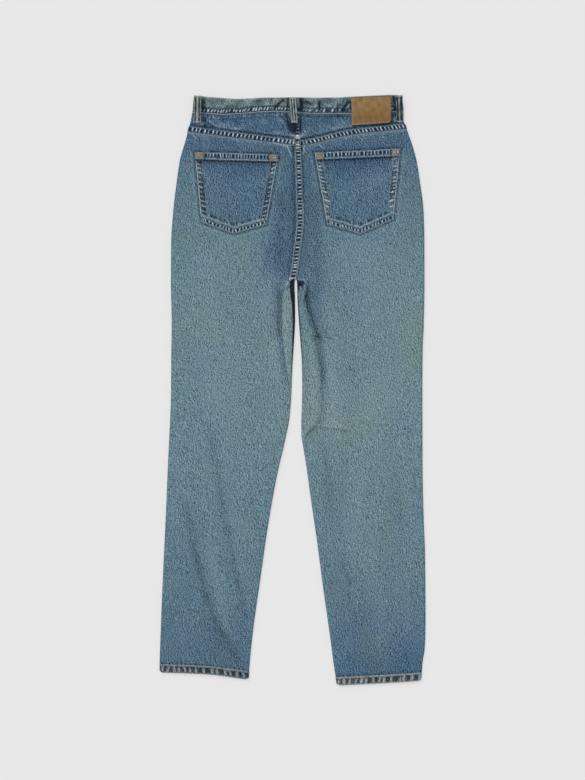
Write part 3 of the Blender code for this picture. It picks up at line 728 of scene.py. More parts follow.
def in_order(runs: Array, least: float = 0.06) -> Array:
    """The same runs, each at least that far before the next, settled from the last one back."""
    steps = np.arange(len(runs)) * least
    return np.minimum.accumulate((runs - steps)[::-1])[::-1] + steps


def srgb(red: float, green: float, blue: float) -> tuple[float, float, float, float]:
    """A colour as seen, 0 to 255 each, turned into the light it stands for."""
    shares = (red / 255, green / 255, blue / 255)
    linear = [c / 12.92 if c <= 0.04 else ((c + 0.055) / 1.055) ** 2.4 for c in shares]
    return (*linear, 1.0)


class Graph:
    """A material's nodes, with short ways to add and join them."""

    def __init__(self, name: str) -> None:
        """Start from a plain material."""
        self.material = bpy.data.materials.new(name)
        self.material.use_nodes = True
        self.tree = self.material.node_tree
        self.shader = self.tree.nodes["Principled BSDF"]

    def add(self, kind: str, inputs: dict | None = None, **settings: object) -> bpy.types.Node:
        """Add a node.

        Args:
            kind: its type, without the words that all shader nodes start with.
            inputs: values or sockets for its inputs, by name or number.
            settings: its own properties.

        Returns:
            The node.
        """
        node = self.tree.nodes.new("ShaderNode" + kind)
        for key, value in settings.items():
            setattr(node, key, value)
        for key, value in (inputs or {}).items():
            if isinstance(value, Socket):
                self.tree.links.new(value, node.inputs[key])
            else:
                node.inputs[key].default_value = value
        return node

    def math(self, operation: str, a: object, b: object, clamp: bool = False) -> Socket:
        """The result of one sum on two values or sockets, kept from 0 to 1 if clamped."""
        return self.add("Math", {0: a, 1: b}, operation=operation, use_clamp=clamp).outputs[0]

    def plus(self, a: object, b: object, clamp: bool = False) -> Socket:
        """One value or socket plus another."""
        return self.math("ADD", a, b, clamp)

    def minus(self, a: object, b: object) -> Socket:
        """One value or socket less another."""
        return self.math("SUBTRACT", a, b)

    def times(self, a: object, b: object, clamp: bool = False) -> Socket:
        """One value or socket times another."""
        return self.math("MULTIPLY", a, b, clamp)

    def vector(self, operation: str, inputs: dict) -> Socket:
        """The result of one sum on vectors or colours."""
        return self.add("VectorMath", inputs, operation=operation).outputs[0]

    def blend(self, factor: object, a: object, b: object, kind: str = "MIX") -> Socket:
        """Two colours mixed by a factor."""
        node = self.add("Mix", data_type="RGBA", blend_type=kind, clamp_factor=True)
        for socket, value in zip((node.inputs[0], node.inputs[6], node.inputs[7]), (factor, a, b)):
            if isinstance(value, Socket):
                self.tree.links.new(value, socket)
            else:
                socket.default_value = value
        return node.outputs[2]

    def wear_and_shading(self) -> list[Socket]:
        """Fade, rub, green and streak, as the mesh has them."""
        attribute = self.add("Attribute", attribute_name="wear_and_shading")
        colour = self.add("SeparateColor", {0: attribute.outputs["Color"]})
        return [*colour.outputs, attribute.outputs["Alpha"]]

    def rubbed_and_lit(self, base: object, rub_and_shading: object, low: object, high: object) -> Socket:
        """A colour that turns to low where rub is below one half, and to high where it is above."""
        below = self.times(self.minus(0.5, rub_and_shading), 2.0, True)
        above = self.times(self.minus(rub_and_shading, 0.5), 2.0, True)
        return self.blend(above, self.blend(below, base, low), high)

    def noise(self, vector: object, scale: float, detail: float = 2.0) -> Socket:
        """Soft noise about one half."""
        return self.add("TexNoise", {"Vector": vector, "Scale": scale, "Detail": detail}).outputs[0]

    def place(
        self, turn: float = 0.0, stretch: tuple[float, float, float] = (1.0, 1.0, 1.0)
    ) -> Socket:
        """Object coordinates, turned about Z by degrees and stretched."""
        coords = self.add("TexCoord").outputs["Object"]
        turned = self.add("Mapping", {0: coords, "Rotation": (0, 0, math.radians(turn))})
        return self.add("Mapping", {0: turned.outputs[0], "Scale": stretch}).outputs[0]

    def finish(
        self, colour: Socket, roughness: float, bump: Socket = None, depth: float = 0.0, specular: float = 0.5
    ) -> bpy.types.Material:
        """Join the shader up.

        Args:
            colour: its base colour.
            roughness: one number for the whole surface.
            bump: a height to shade by, if any.
            depth: how deep that height is, in metres.
            specular: how much light its surface mirrors.

        Returns:
            The material.
        """
        self.tree.links.new(colour, self.shader.inputs["Base Color"])
        self.shader.inputs["Roughness"].default_value = roughness
        self.shader.inputs["Specular IOR Level"].default_value = specular
        if bump is not None:
            node = self.add("Bump", {"Strength": 1.0, "Distance": depth, "Height": bump})
            self.tree.links.new(node.outputs[0], self.shader.inputs["Normal"])
        return self.material


@dataclass(frozen=True)
class Denim:
    """Worn twill: dyed warp over pale weft, paler where it is worn and darker where wear has not reached it;
    the same dark and pale colours also paint shade and highlights onto the cloth.
    """

    name: str
    deep: tuple = srgb(64, 92, 118)
    middle: tuple = srgb(97, 123, 137)
    pale: tuple = srgb(121, 143, 148)
    # The dark end of rub: unworn dye, and painted shade.
    sheltered_and_shaded: tuple = srgb(16, 30, 46)
    # The pale end of rub: worn threads, and painted highlight.
    rubbed_and_lit: tuple = srgb(176, 188, 190)
    green: tuple = (1.0, 1.01, 0.88, 1.0)
    grain: float = 1.0
    grain_mean: float = 0.805
    mottle: float = 0.13
    hue: float = 1.5
    hair: float = 0.3
    thread_step: tuple = (0.00185, 0.0009, 0.0)
    darkest: tuple = (0.003, 0.005, 0.008)

    def threads(self, g: Graph, vector: Socket) -> Socket:
        """Uneven specks, leaning lines and upright slubs, about 1.15."""
        leaning = g.add("Mapping", {0: vector, "Rotation": (0, 0, math.radians(-38.0))}).outputs[0]
        leaning = g.add("Mapping", {0: leaning, "Scale": (1.0, 0.5, 1.0)}).outputs[0]
        upright = g.add("Mapping", {0: vector, "Scale": (1.0, 0.3, 1.0)}).outputs[0]
        twill = g.times(g.noise(leaning, 800.0, 0.0), 0.9)
        speck = g.times(g.noise(vector, 600.0, 0.0), 0.8)
        slub = g.times(g.noise(upright, 640.0, 0.0), 0.6)
        return g.plus(g.plus(twill, speck), slub)

    def build(self) -> bpy.types.Material:
        """Make the material, which reads the mesh's wear."""
        g = Graph(self.name)
        fade, rub_and_shading, green, streak = g.wear_and_shading()
        plain = g.place()
        hairs = g.noise(g.place(-44.0, (1.0, 0.09, 1.0)), 520.0, 1.0)
        hairs = g.times(g.minus(hairs, 0.57), 5.0, True)
        rub_and_shading = g.plus(rub_and_shading, g.times(hairs, g.times(streak, self.hair)))
        patches = g.minus(g.noise(plain, 9.0, 1.0), 0.5)
        fade = g.plus(fade, g.times(patches, 2 * self.mottle))
        tints = g.minus(g.noise(g.place(20.0, (1.0, 0.7, 1.0)), 11.0), 0.5)
        green = g.plus(green, g.times(tints, 2 * self.hue), True)
        ramp = g.add("ValToRGB", {0: fade})
        stops = ramp.color_ramp.elements
        stops[0].color, stops[1].color = self.deep, self.pale
        stops.new(0.5).color = self.middle
        tinted = g.blend(1.0, ramp.outputs[0], self.green, "MULTIPLY")
        # Rub turns the colour to these ends, for wear and for painted shade and highlights.
        worn = g.rubbed_and_lit(g.blend(green, ramp.outputs[0], tinted), rub_and_shading, self.sheltered_and_shaded, self.rubbed_and_lit)
        near = g.vector("ADD", {0: plain, 1: self.thread_step})
        grain = g.minus(self.threads(g, plain), g.times(self.threads(g, near), 0.3))
        share = g.times(g.minus(grain, self.grain_mean), 0.96 * self.grain)
        even = g.add("Gamma", {0: worn, 1: 0.583}).outputs[0]
        speckled = g.vector("ADD", {0: worn, 1: g.vector("SCALE", {0: even, "Scale": share})})
        return g.finish(g.vector("MAXIMUM", {0: speckled, 1: self.darkest}), 0.92, grain, 0.00010, 0.25)


@dataclass(frozen=True)
class Mottled:
    """Two colours in soft patches: sewing thread unless it is metallic, and then aged copper."""

    name: str
    light: tuple = srgb(180, 190, 194)
    dark: tuple = srgb(128, 142, 148)
    scale: float = 140.0
    detail: float = 2.0
    roughness: float = 0.7
    metallic: float = 0.0

    def build(self) -> bpy.types.Material:
        """Make the material, whose patches are dents too where it is metal."""
        g = Graph(self.name)
        patches = g.noise(g.place(), self.scale, self.detail)
        g.shader.inputs["Metallic"].default_value = self.metallic
        dents = patches if self.metallic else None
        return g.finish(g.blend(patches, self.dark, self.light), self.roughness, dents, 0.00003)


@dataclass(frozen=True)
class Leather:
    """Worn tan leather with a fine grain, paler along its edges."""

    name: str
    worn: tuple = srgb(142, 112, 72)
    tan: tuple = srgb(136, 95, 42)
    dark: tuple = srgb(76, 50, 24)
    pale: tuple = srgb(178, 152, 120)

    def build(self) -> bpy.types.Material:
        """Make the material, which reads fade and rub from the mesh's wear."""
        g = Graph(self.name)
        fade, rub_and_shading, _, _ = g.wear_and_shading()
        plain = g.place()
        clouds = g.blend(g.noise(plain, 60.0, 4.0), self.dark, self.worn)
        base = g.blend(fade, g.blend(0.55, clouds, self.tan), self.worn)
        base = g.rubbed_and_lit(base, rub_and_shading, self.dark, self.pale)
        pores = g.add("TexVoronoi", {"Vector": plain, "Scale": 900.0}).outputs[0]
        factor = g.plus(0.825, g.times(g.noise(plain, 420.0), 0.28))
        return g.finish(g.vector("SCALE", {0: base, "Scale": factor}), 0.65, pores, 0.00008, 0.2)


@dataclass(frozen=True)
class Paper:
    """The plain pale surface that the garment lies on, which partly glows with its own light so that shadows
    on it are faint.
    """

    name: str
    colour: tuple = srgb(232, 232, 232)
    glow: float = 0.7

    def build(self) -> bpy.types.Material:
        """Make the material."""
        g = Graph(self.name)
        fibres = g.noise(g.place(), 300.0)
        shaded = tuple(c * (1 - self.glow) for c in self.colour[:3]) + (1.0,)
        dimmer = tuple(c * 0.97 for c in shaded[:3]) + (1.0,)
        g.shader.inputs["Emission Color"].default_value = self.colour
        g.shader.inputs["Emission Strength"].default_value = self.glow
        return g.finish(g.blend(fibres, dimmer, shaded), 0.95, specular=0.0)


class Finish(Enum):
    """The garment's finishes."""

    BODY = Denim("denim_body")
    POCKET = Denim("denim_pocket", grain=1.15)
    BAND = Denim(
        "denim_waistband", middle=srgb(88, 106, 116), pale=srgb(116, 128, 126), sheltered_and_shaded=srgb(8, 20, 34),
        rubbed_and_lit=srgb(190, 200, 204), mottle=0.3,
    )
    SEAM = Denim(
        "denim_seam", middle=srgb(84, 104, 118), sheltered_and_shaded=srgb(12, 24, 38),
        rubbed_and_lit=srgb(204, 210, 210), grain=0.9,
    )
    HEM = Denim(
        "denim_hem", deep=srgb(72, 86, 98), middle=srgb(88, 98, 106), sheltered_and_shaded=srgb(14, 26, 38),
        rubbed_and_lit=srgb(168, 168, 166),
    )
    LOOP = Denim(
        "denim_loop", middle=srgb(92, 102, 104), sheltered_and_shaded=srgb(18, 32, 42),
        rubbed_and_lit=srgb(158, 160, 158), grain=0.8,
    )
    THREAD = Mottled("thread")
    PALE_TACK = Mottled("pale_tack_thread", srgb(160, 158, 142), srgb(112, 111, 98))
    TACK = Mottled("tack_thread", srgb(134, 110, 90), srgb(88, 72, 58))
    LEATHER = Leather("patch_leather")
    COPPER = Mottled("aged_copper", srgb(186, 134, 98), srgb(112, 78, 58), 450.0, 3.0, 0.38, 1.0)
    PAPER = Paper("glowing_paper")

    def material(self) -> bpy.types.Material:
        """The finish's material, made the first time that it is asked for."""
        return bpy.data.materials.get(self.value.name) or self.value.build()


def wear_and_shading_of(fade: Array, rub_and_shading: Array, green: Array, streak: Array = 0.0) -> Array:
    """Fade, rub, green and streak side by side; rub is from -1, unworn dye and painted shade, to 1, worn
    threads and painted highlight.
    """
    fade, rub_and_shading, green, streak = np.broadcast_arrays(fade, rub_and_shading, green, streak)
    return np.clip(np.stack([fade, rub_and_shading * 0.5 + 0.5, green, streak], axis=-1), 0.0, 1.0)


def body_wear(x: Array, y: Array) -> tuple[Array, Array]:
    """How faded and how green the upper side is at each place."""
    fade = TONE(y)
    green = np.full(np.shape(x), 0.12)
    for f in FADES:
        near = bell(np.hypot((x - f.x) / f.reach_x, (y - f.y) / f.reach_y))
        fade += f.fade * near
        green += f.green * near
    return fade, green


def mesh_object(name: str, vertices: Array, faces: Array, wear_and_shading: Array | None, finish: Finish) -> Piece:
    """A named object from points in millimetres.

    Args:
        name: the piece's name.
        vertices: one x, y, z each.
        faces: the points of each face, in order.
        wear_and_shading: fade, rub, green and streak at each point, if the finish reads them.
        finish: what it is dressed in.

    Returns:
        The object, riding on the garment.
    """
    mesh = bpy.data.meshes.new(name)
    mesh.from_pydata((vertices * MM).tolist(), [], faces.tolist())
    mesh.shade_smooth()
    mesh.set_sharp_from_angle(angle=math.radians(SHARP_ANGLE))
    if wear_and_shading is not None:
        layer = mesh.attributes.new("wear_and_shading", "FLOAT_COLOR", "POINT")
        layer.data.foreach_set("color", wear_and_shading.astype(np.float32).ravel())
    mesh.materials.append(finish.material())
    obj = bpy.data.objects.new(name, mesh)
    bpy.context.scene.collection.objects.link(obj)
    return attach(obj, BODY) or obj


class Cut(NamedTuple):
    """The flat size that a sheet of cloth was cut to, in millimetres, as far as it shows."""

    width: float
    length: float
    area: float


class CuttingList:
    """The cut of each sheet of cloth, gathered as the sheets are made."""

    def __init__(self) -> None:
        """Start with no sheets."""
        self.cuts: dict[str, Cut] = {}

    def add_rows(self, obj: Piece, widths: Sequence[float], places: Array) -> None:
        """Note a sheet whose pattern is as wide as that along each of its rows.

        Args:
            obj: the sheet.
            widths: how wide its flat pattern is along each row.
            places: y of the points of each row.
        """
        steps = np.abs(np.diff(places.mean(axis=1)))
        area = float(np.sum((np.array(widths[:-1]) + np.array(widths[1:])) / 2 * steps))
        length = float(np.abs(np.diff(places, axis=0)).sum(axis=0).max())
        self.cuts[obj.name] = Cut(max(widths), length, area)

    def add(self, obj: Piece, width: float, length: float, share: float = 1.0) -> None:
        """Note a sheet cut to that size, which fills that share of its rectangle."""
        self.cuts[obj.name] = Cut(width, length, width * length * share)

    def declare(self, rests: dict[str, str]) -> None:
        """State every cut.

        Args:
            rests: what each sheet lies on; not used.
        """
        for name, cut in self.cuts.items():
            LOG.info("%s: cut %.0f x %.0f mm, %.0f square cm", name, cut.width, cut.length, cut.area / 100)


CUTTING = CuttingList()


def resting_places() -> dict[str, str]:
    """What each sheet lies on."""
    rests = {f"{loop.name}_cloth": "waistband_cloth" for loop in LOOPS}
    rests["waist_patch_leather"] = "waistband_cloth"
    for side in ("left", "right"):
        front, back = f"front_leg_{side}_cloth", f"back_leg_{side}_cloth"
        rests |= {front: "floor", back: front, f"back_pocket_{side}_cloth": back}
        rests |= {f"{piece}_{side}_cloth": front for piece in ("yoke", "pocket_facing")}
    rests["coin_pocket_cloth"] = "pocket_facing_right_cloth"
    rests |= {f"{piece}_cloth": "front_leg_left_cloth" for piece in ("fly_shield", "waistband")}
    return rests


def grid_faces(rows: int, columns: int, flip: bool) -> Array:
    """The faces of a grid of points, facing up where rows run down and columns towards +X."""
    index = np.arange(rows * columns).reshape(rows, columns)
    faces = np.stack([index[:-1, :-1], index[1:, :-1], index[1:, 1:], index[:-1, 1:]], axis=-1)
    faces = faces.reshape(-1, 4)
    return faces[:, ::-1] if flip else faces


def shell(
    name: str,
    outside: Array,
    inside: Array,
    wear_and_shading: Array,
    finish: Finish,
    flip: bool = False,
    lined: bool = True,
) -> Piece:
    """A sheet of cloth from a grid of points on each of its sides.

    Args:
        name: the piece's name.
        outside: the points on the side that shows.
        inside: the same on the other side.
        wear_and_shading: fade, rub, green and streak at each point.
        finish: what it is dressed in.
        flip: whether the grid faces the other way.
        lined: whether its other side is made too, or only its edges are turned in to it.

    Returns:
        The object.
    """
    rows, columns = outside.shape[:2]
    if not lined:
        points = np.pad(inside, ((1, 1), (1, 1), (0, 0)), mode="edge")
        points[1:-1, 1:-1] = outside
        wear_and_shading = np.pad(wear_and_shading, ((1, 1), (1, 1), (0, 0)), mode="edge")
        faces = grid_faces(rows + 2, columns + 2, flip)
        return mesh_object(name, points.reshape(-1, 3), faces, wear_and_shading.reshape(-1, 4), finish)
    count = rows * columns
    index = np.arange(count).reshape(rows, columns)
    border = np.concatenate([index[0, :-1], index[:-1, -1], index[-1, :0:-1], index[:0:-1, 0]])
    after = np.roll(border, -1)
    rim = np.stack([border, after, after + count, border + count], axis=-1)
    front = grid_faces(rows, columns, False)
    faces = np.concatenate([front, front[:, ::-1] + count, rim])
    points = np.concatenate([outside.reshape(-1, 3), inside.reshape(-1, 3)])
    both = np.concatenate([wear_and_shading.reshape(-1, 4)] * 2)
    return mesh_object(name, points, faces[:, ::-1] if flip else faces, both, finish)


@dataclass
class Stitching:
    """Rows of single stitches, gathered until they are made into one piece."""

    name: str
    finish: Finish = Finish.THREAD
    length: float = 3.0
    gap: float = 0.7
    width: float = 0.6
    height: float = 0.5

    def __post_init__(self) -> None:
        """Start with no stitches."""
        self.starts: list[Array] = []
        self.ends: list[Array] = []
        self.ups: list[Array] = []

    def row(self, path: Array, up: float = 1.0, lift: float = THREAD_LIFT) -> None:
        """Add stitches along a path.

        Args:
            path: points on the surface of the cloth.
            up: 1 on the upper side, -1 on the lower one.
            lift: how far off the cloth the middle of the thread is.
        """
        path = path + (0.0, 0.0, up * lift)
        steps = np.linalg.norm(np.diff(path, axis=0), axis=1)
        reach = np.concatenate([[0.0], np.cumsum(steps)])
        pitch = self.length + self.gap
        count = max(1, int(reach[-1] / pitch))
        at = (np.arange(count) + 0.5) * reach[-1] / count
        half = self.length / 2
        first = np.stack([np.interp(at - half, reach, path[:, k]) for k in range(3)], axis=-1)
        last = np.stack([np.interp(at + half, reach, path[:, k]) for k in range(3)], axis=-1)
        self.add(first, last, np.tile([0.0, 0.0, up], (count, 1)))

    def add(self, starts: Array, ends: Array, ups: Array) -> None:
        """Add stitches by their ends and the way they face."""
        self.starts.append(starts)
        self.ends.append(ends)
        self.ups.append(ups)

    def build(self) -> Piece:
        """Make the piece: each stitch is a six-sided bar that narrows at its ends."""
        start, end, up = (np.concatenate(v) for v in (self.starts, self.ends, self.ups))
        along = end - start
        size = np.linalg.norm(along, axis=1, keepdims=True)
        along = along / np.maximum(size, 1e-6)
        across = np.cross(up, along)
        across /= np.maximum(np.linalg.norm(across, axis=1, keepdims=True), 1e-6)
        raised = np.cross(along, across)
        places = (-0.5, -0.36, 0.0, 0.36, 0.5)
        swell = (0.25, 0.85, 1.0, 0.85, 0.25)
        sides = 6
        angles = np.arange(sides) * 2 * math.pi / sides
        rings = []
        for place, wide in zip(places, swell):
            middle = (start + end) / 2 + along * size * place
            for angle in angles:
                rings.append(
                    middle
                    + across * math.cos(angle) * self.width / 2 * wide
                    + raised * (math.sin(angle) * wide * self.height / 2)
                )
        vertices = np.stack(rings, axis=1).reshape(-1, 3)
        quads = []
        for i in range(len(places) - 1):
            for k in range(sides):
                a, b = i * sides + k, i * sides + (k + 1) % sides
                quads.append((a, b, b + sides, a + sides))
        quads = np.array(quads)
        offsets = np.arange(len(start))[:, None, None] * (sides * len(places))
        faces = (quads[None] + offsets).reshape(-1, 4)
        return mesh_object(self.name, vertices, faces, None, self.finish)


@dataclass
class LegPiece:
    """A back or front leg piece, from its upper seam to the top of its hem."""

    leg: Leg
    pitch: float = 2.7
    fine_pitch: float = 1.5
    fine_width: float = 36.0
    columns: int = 70
    seat_row: float = 250.0
    crotch_rows: tuple[float, float] = (226.0, 168.0)
    leg_rows: tuple[float, float] = (-100.0, -500.0)
    gathers_from: float = -260.0

    def lines(self, top: Line) -> list[Line]:
        """Lines across the leg from its upper edge down to the hem, closest at the crotch."""
        over, under = (level_line(y) for y in self.crotch_rows)
        upper = filled([top, level_line(self.seat_row), over], self.pitch)
        crotch = filled([over, under], self.fine_pitch)
        low = lowered(self.leg.hem, -HEM_DEPTH + 1.5)
        lower = filled([under, *(level_line(y) for y in self.leg_rows), low], self.pitch)
        return upper[:-1] + crotch[:-1] + lower

    def back_runs(self, section: Section) -> Array:
        """Runs of a back piece's points, closest together where it bends."""
        start, end = SEAM_GAP / 2, section.back_end - SEAM_GAP / 2
        near = end - self.fine_width
        side = np.linspace(start, section.side_arc, 4)
        flat = np.linspace(section.side_arc, near, self.columns)[1:]
        fine = np.linspace(near, end, round(self.fine_width / self.fine_pitch))[1:]
        return in_order(np.concatenate([side, flat, fine]))

    def front_runs(self, section: Section, start: float) -> Array:
        """Runs of a front piece's points, which may go round the inner fold onto the top."""
        end = section.front_end - SEAM_GAP / 2
        side = np.linspace(start, max(section.side_arc, start + 2), 4)
        level = min(section.fold_start, end - 8)
        turned = max(section.fold_start, min(end, section.fold_start + 2 * section.fold_arc))
        flat = np.linspace(side[-1], level, self.columns - 14)[1:]
        arc = np.linspace(level, turned, 12)[1:]
        return in_order(np.concatenate([side, flat, arc, np.linspace(turned, end, 24)[1:]]))

    def wear_and_shading(self, places: Array, from_top: Array, from_hem: Array) -> Array:
        """Fade, rub, green and streak of a piece's points.

        Args:
            places: the points.
            from_top: how far each is below the upper seam.
            from_hem: how far each is above the hem's stitching.

        Returns:
            The four numbers of each.
        """
        x, y = places[..., 0], places[..., 1]
        on_left = self.leg.inward > 0
        fade, green = body_wear(x, y)
        # A dark line just above the hem is painted shadow of its raised edge, broken into blotches.
        shadow_blotches = Rungs(500, 7.0, self.leg.seed + 4, 0.25)(x - self.gathers_from, from_hem)
        rub_and_shading = marked(from_hem, (-0.9, 1.2, 2.2)) * np.clip(0.55 + shadow_blotches, 0, 1)
        rub_and_shading += marked(from_top - FELL_WIDTH, (0.2, 0.8, 1.8)) + self.beside_pocket(x, y)
        # Painted shadow along the raised seat band, deeper on the right leg.
        beside_seat = (centre_seam(y) - x) * self.leg.inward - (FELL_WIDTH if on_left else 0.0)
        above_crotch = ease((y - CROTCH_Y) / 6)
        shade = (-0.42, 3.4, 3.0) if on_left else (-0.6, 1.6, 1.3)
        rub_and_shading += marked(beside_seat, shade, (-0.12, 8, 9)) * above_crotch
        streak = marked(from_top - FELL_WIDTH, (0.9, 0, 14))
        streak += marked(beside_seat, (0.35, 8, 14)) * above_crotch
        strip_fade, strip_shading, strip_green = self.strip_tone_and_shading(x, y)
        rub_and_shading += strip_shading
        # The valley beside the rolled-over strip is painted nearly black as shade.
        shaded_hollow = self.leg.sheltered_and_shaded(x, y)
        rub_and_shading = rub_and_shading * (1 - shaded_hollow) - 1.05 * shaded_hollow
        # Painted shade where the cloth rounds down at the outer sides.
        edge = np.minimum(np.abs(x - self.leg.side(y)), 30.0)
        rub_and_shading += marked(edge, (-0.25, 0, 2.0))
        on_top = places[..., 2] > 2.0
        # Fold ridges are paler from wear and troughs darker as painted shade; the strokes add their painted
        # shade and highlights.
        folds = fold_relief(x, y) + crease_relief(x, y)
        rub_and_shading += on_top * (0.045 * folds + stroke_rub_and_shading(x, y))
        return wear_and_shading_of(fade + strip_fade, rub_and_shading, green + strip_green, streak)

    def strip_tone_and_shading(self, x: Array, y: Array) -> tuple[Array, Array, Array]:
        """Fade, rub and green that the rolled-over strip of the front piece adds: its paler, greener cloth, a
        painted highlight along its crest, and painted shade along its edge and on the cloth beside it.
        """
        on_left = self.leg.inward > 0
        inseam = (x - self.leg.inseam_x(y)) * self.leg.inward
        strip = self.leg.shown_strip(y)
        rolled = ease((strip - 1.0) / 6) * (y < CROTCH_Y)
        on_strip = ease((inseam + 2) / 4) * rolled
        # A painted highlight along the middle of the roll.
        crest = 0.10 * bell((inseam - strip * 0.45) / np.maximum(strip * 0.3, 1.5)) * on_strip
        # Painted shade along the strip's edge at the inseam and on the cloth beside it.
        line = mix(0.06, 0.2, ease((y + 30) / 90))
        rub_and_shading = crest - rolled * (line * bell((inseam - 0.3) / 1.6) + marked(inseam, (0.2, -4, 6.0)))
        if not on_left:
            rub_and_shading = rub_and_shading - 0.06 * ease((y - 30) / 60) * on_strip
        return (0.12 if on_left else 0.0) * on_strip, rub_and_shading, (0.4 if on_left else 0.65) * on_strip

    def beside_pocket(self, x: Array, y: Array) -> Array:
        """Rub round the outside of the back pocket: painted shadow close to its edges, deepest above its
        mouth, and paler further out.
        """
        corners = POCKET_LEFT if self.leg.inward > 0 else POCKET_RIGHT
        depth = np.minimum.reduce(edge_depths(corners, x, y))
        away = np.maximum(-depth, 0.0) + 30.0 * (depth > 1)
        (x0, y0), (x1, y1) = corners.top_left, corners.top_right
        above = ease(y - y0 - (y1 - y0) * (x - x0) / (x1 - x0))
        over = marked(away, (-0.9, 1.2, 1.6), (-0.12, 6, 4))
        return mix(marked(away, (-0.62, 2.2, 1.7), (0.14, 6, 2)), over, above)

    def build_back(self) -> Piece:
        """Make the back leg piece."""
        return self.build("back_leg", lowered(yoke_seam, SEAM_GAP / 2), True)

    def build_front(self) -> Piece:
        """Make the front leg piece, whose upper corner is cut away by the pocket's mouth."""
        return self.build("front_leg", lowered(front_waist_seam, SEAM_GAP / 2), False)

    def build_yoke(self) -> Piece:
        """Make the V-shaped piece between the waistband and the back leg."""
        top, foot = lowered(waist_seam, SEAM_GAP / 2), lowered(yoke_seam, -SEAM_GAP / 2)
        sections = [Section(self.leg, line) for line in filled([top, foot], self.fine_pitch)]
        runs = [self.back_runs(s) for s in sections]
        outside, inside = lay(sections, runs), lay(sections, runs, -CLOTH)
        x, y = outside[..., 0], outside[..., 1]
        above, below = y - yoke_seam(x), waist_seam(x) - y
        fade, green = body_wear(x, y)
        puckers = Rungs(520, 10.0, self.leg.seed + 9, 0.5)(x - self.gathers_from, below)
        shades = [(-0.45, 4, 2.0)]
        if self.leg.inward > 0:
            shades = [(-0.1, 2, 1.5), (0.2, 4.9, 1.2), (-0.2, 8, 2.5)]
        # Painted shadow on the yoke along the raised edge of the band below it and along the waistband above
        # it, with a paler line below the waistband on the left.
        rub_and_shading = marked(above, (-0.85, 2.7, 1.6), (0.1, 8, 2.5)) + marked(below, *shades) + stroke_rub_and_shading(x, y)
        rub_and_shading = rub_and_shading - 0.06 + puckers * marked(below, (0.3, 4, 4))
        rub_and_shading += 0.11 * ripple(x, y * 1.6, 36, self.leg.seed + 5)
        streak = 0.45 + marked(above, (0.5, 0, 12))
        wear_and_shading = wear_and_shading_of(fade * 0.25 + 0.08, rub_and_shading, green * 0.4, streak)
        name = f"yoke_{self.leg.name}"
        obj = shell(f"{name}_cloth", outside, inside, wear_and_shading, Finish.BODY, self.leg.inward < 0, False)
        CUTTING.add_rows(obj, [s.back_end for s in sections], outside[..., 1])
        return dress(obj, "dark_denim", name)

    def mouth_lines(self, top: Line) -> tuple[list[Line], list[float]]:
        """Lines from the waist to the bottom of the pocket's mouth, and where each meets its edge."""
        lines, starts = [], []
        for turn in np.linspace(1.0, 0.03, 30):
            edge_x, edge_y = scoop_edge(self.leg, turn)
            depths = float(top(edge_x)) - edge_y, SCOOP_DEPTH * (1 - turn)

            def line(x: Array, edge_x: float = edge_x, depths: Corner = depths) -> Array:
                """y of the line at x."""
                t = np.clip((x - edge_x) / (WAIST_MIDDLE - edge_x), 0.0, 1.0)
                return top(x) - mix(*depths, t)

            lines.append(line)
            starts.append(edge_x)
        return lines, starts

    def build(self, name: str, top: Line, upper: bool) -> Piece:
        """Make either piece.

        Args:
            name: what it is, without its side.
            top: its upper edge.
            upper: whether it is the back piece.

        Returns:
            The object.
        """
        if upper:
            sections = [Section(self.leg, line) for line in self.lines(top)]
            runs = [self.back_runs(s) for s in sections]
        else:
            mouth, edges = self.mouth_lines(top)
            sections = [Section(self.leg, line) for line in mouth + self.lines(lowered(top, SCOOP_DEPTH))]
            starts = [s.run_at(edge) for s, edge in zip(sections, edges)]
            starts += [SEAM_GAP / 2] * (len(sections) - len(edges))
            runs = [self.front_runs(s, start) for s, start in zip(sections, starts)]
        widths = [float(r[-1] - r[0]) for r in runs]
        outside, inside = lay(sections, runs, 0.0, upper), lay(sections, runs, -CLOTH, upper)
        x, y = outside[..., 0], outside[..., 1]
        from_top = np.maximum(0.0, top(x) - y)
        from_hem = np.maximum(0.0, y - self.leg.hem(x) - HEM_DEPTH)
        wear_and_shading = self.wear_and_shading(outside, from_top, from_hem)
        name = f"{name}_{self.leg.name}"
        flip = (self.leg.inward < 0) == upper
        obj = shell(f"{name}_cloth", outside, inside, wear_and_shading, Finish.BODY, flip, False)
        CUTTING.add_rows(obj, widths, outside[..., 1])
        return dress(obj, "denim", name)


def edge_depths(corners: Corners, x: Array, y: Array) -> tuple[Array, Array, Array]:
    """How far inside the mouth, the nearer side and the nearer lower edge of a pocket each place is."""
    depths = []
    for (x0, y0), (x1, y1) in zip(corners, corners[1:] + corners[:1]):
        length = math.hypot(x1 - x0, y1 - y0)
        depths.append(((y1 - y0) * (x - x0) - (x1 - x0) * (y - y0)) / length)
    return depths[0], np.minimum(depths[1], depths[4]), np.minimum(depths[2], depths[3])


def scoop_edge(leg: Leg, turn: float, margin: float = 0.0) -> tuple[float, float]:
    """A point on the front pocket's mouth: turn 0 at the side seam, 1 at the waist seam."""
    angle = turn * math.pi / 2
    across = (SCOOP_WIDTH - margin) * math.sin(angle)
    x = float(leg.side(SCOOP_TOP)) + leg.inward * across
    y = float(front_waist_seam(x)) - SEAM_GAP / 2 - (SCOOP_DEPTH - margin) * math.cos(angle)
    return mix(float(leg.side(y)) + leg.inward * across, x, turn), y


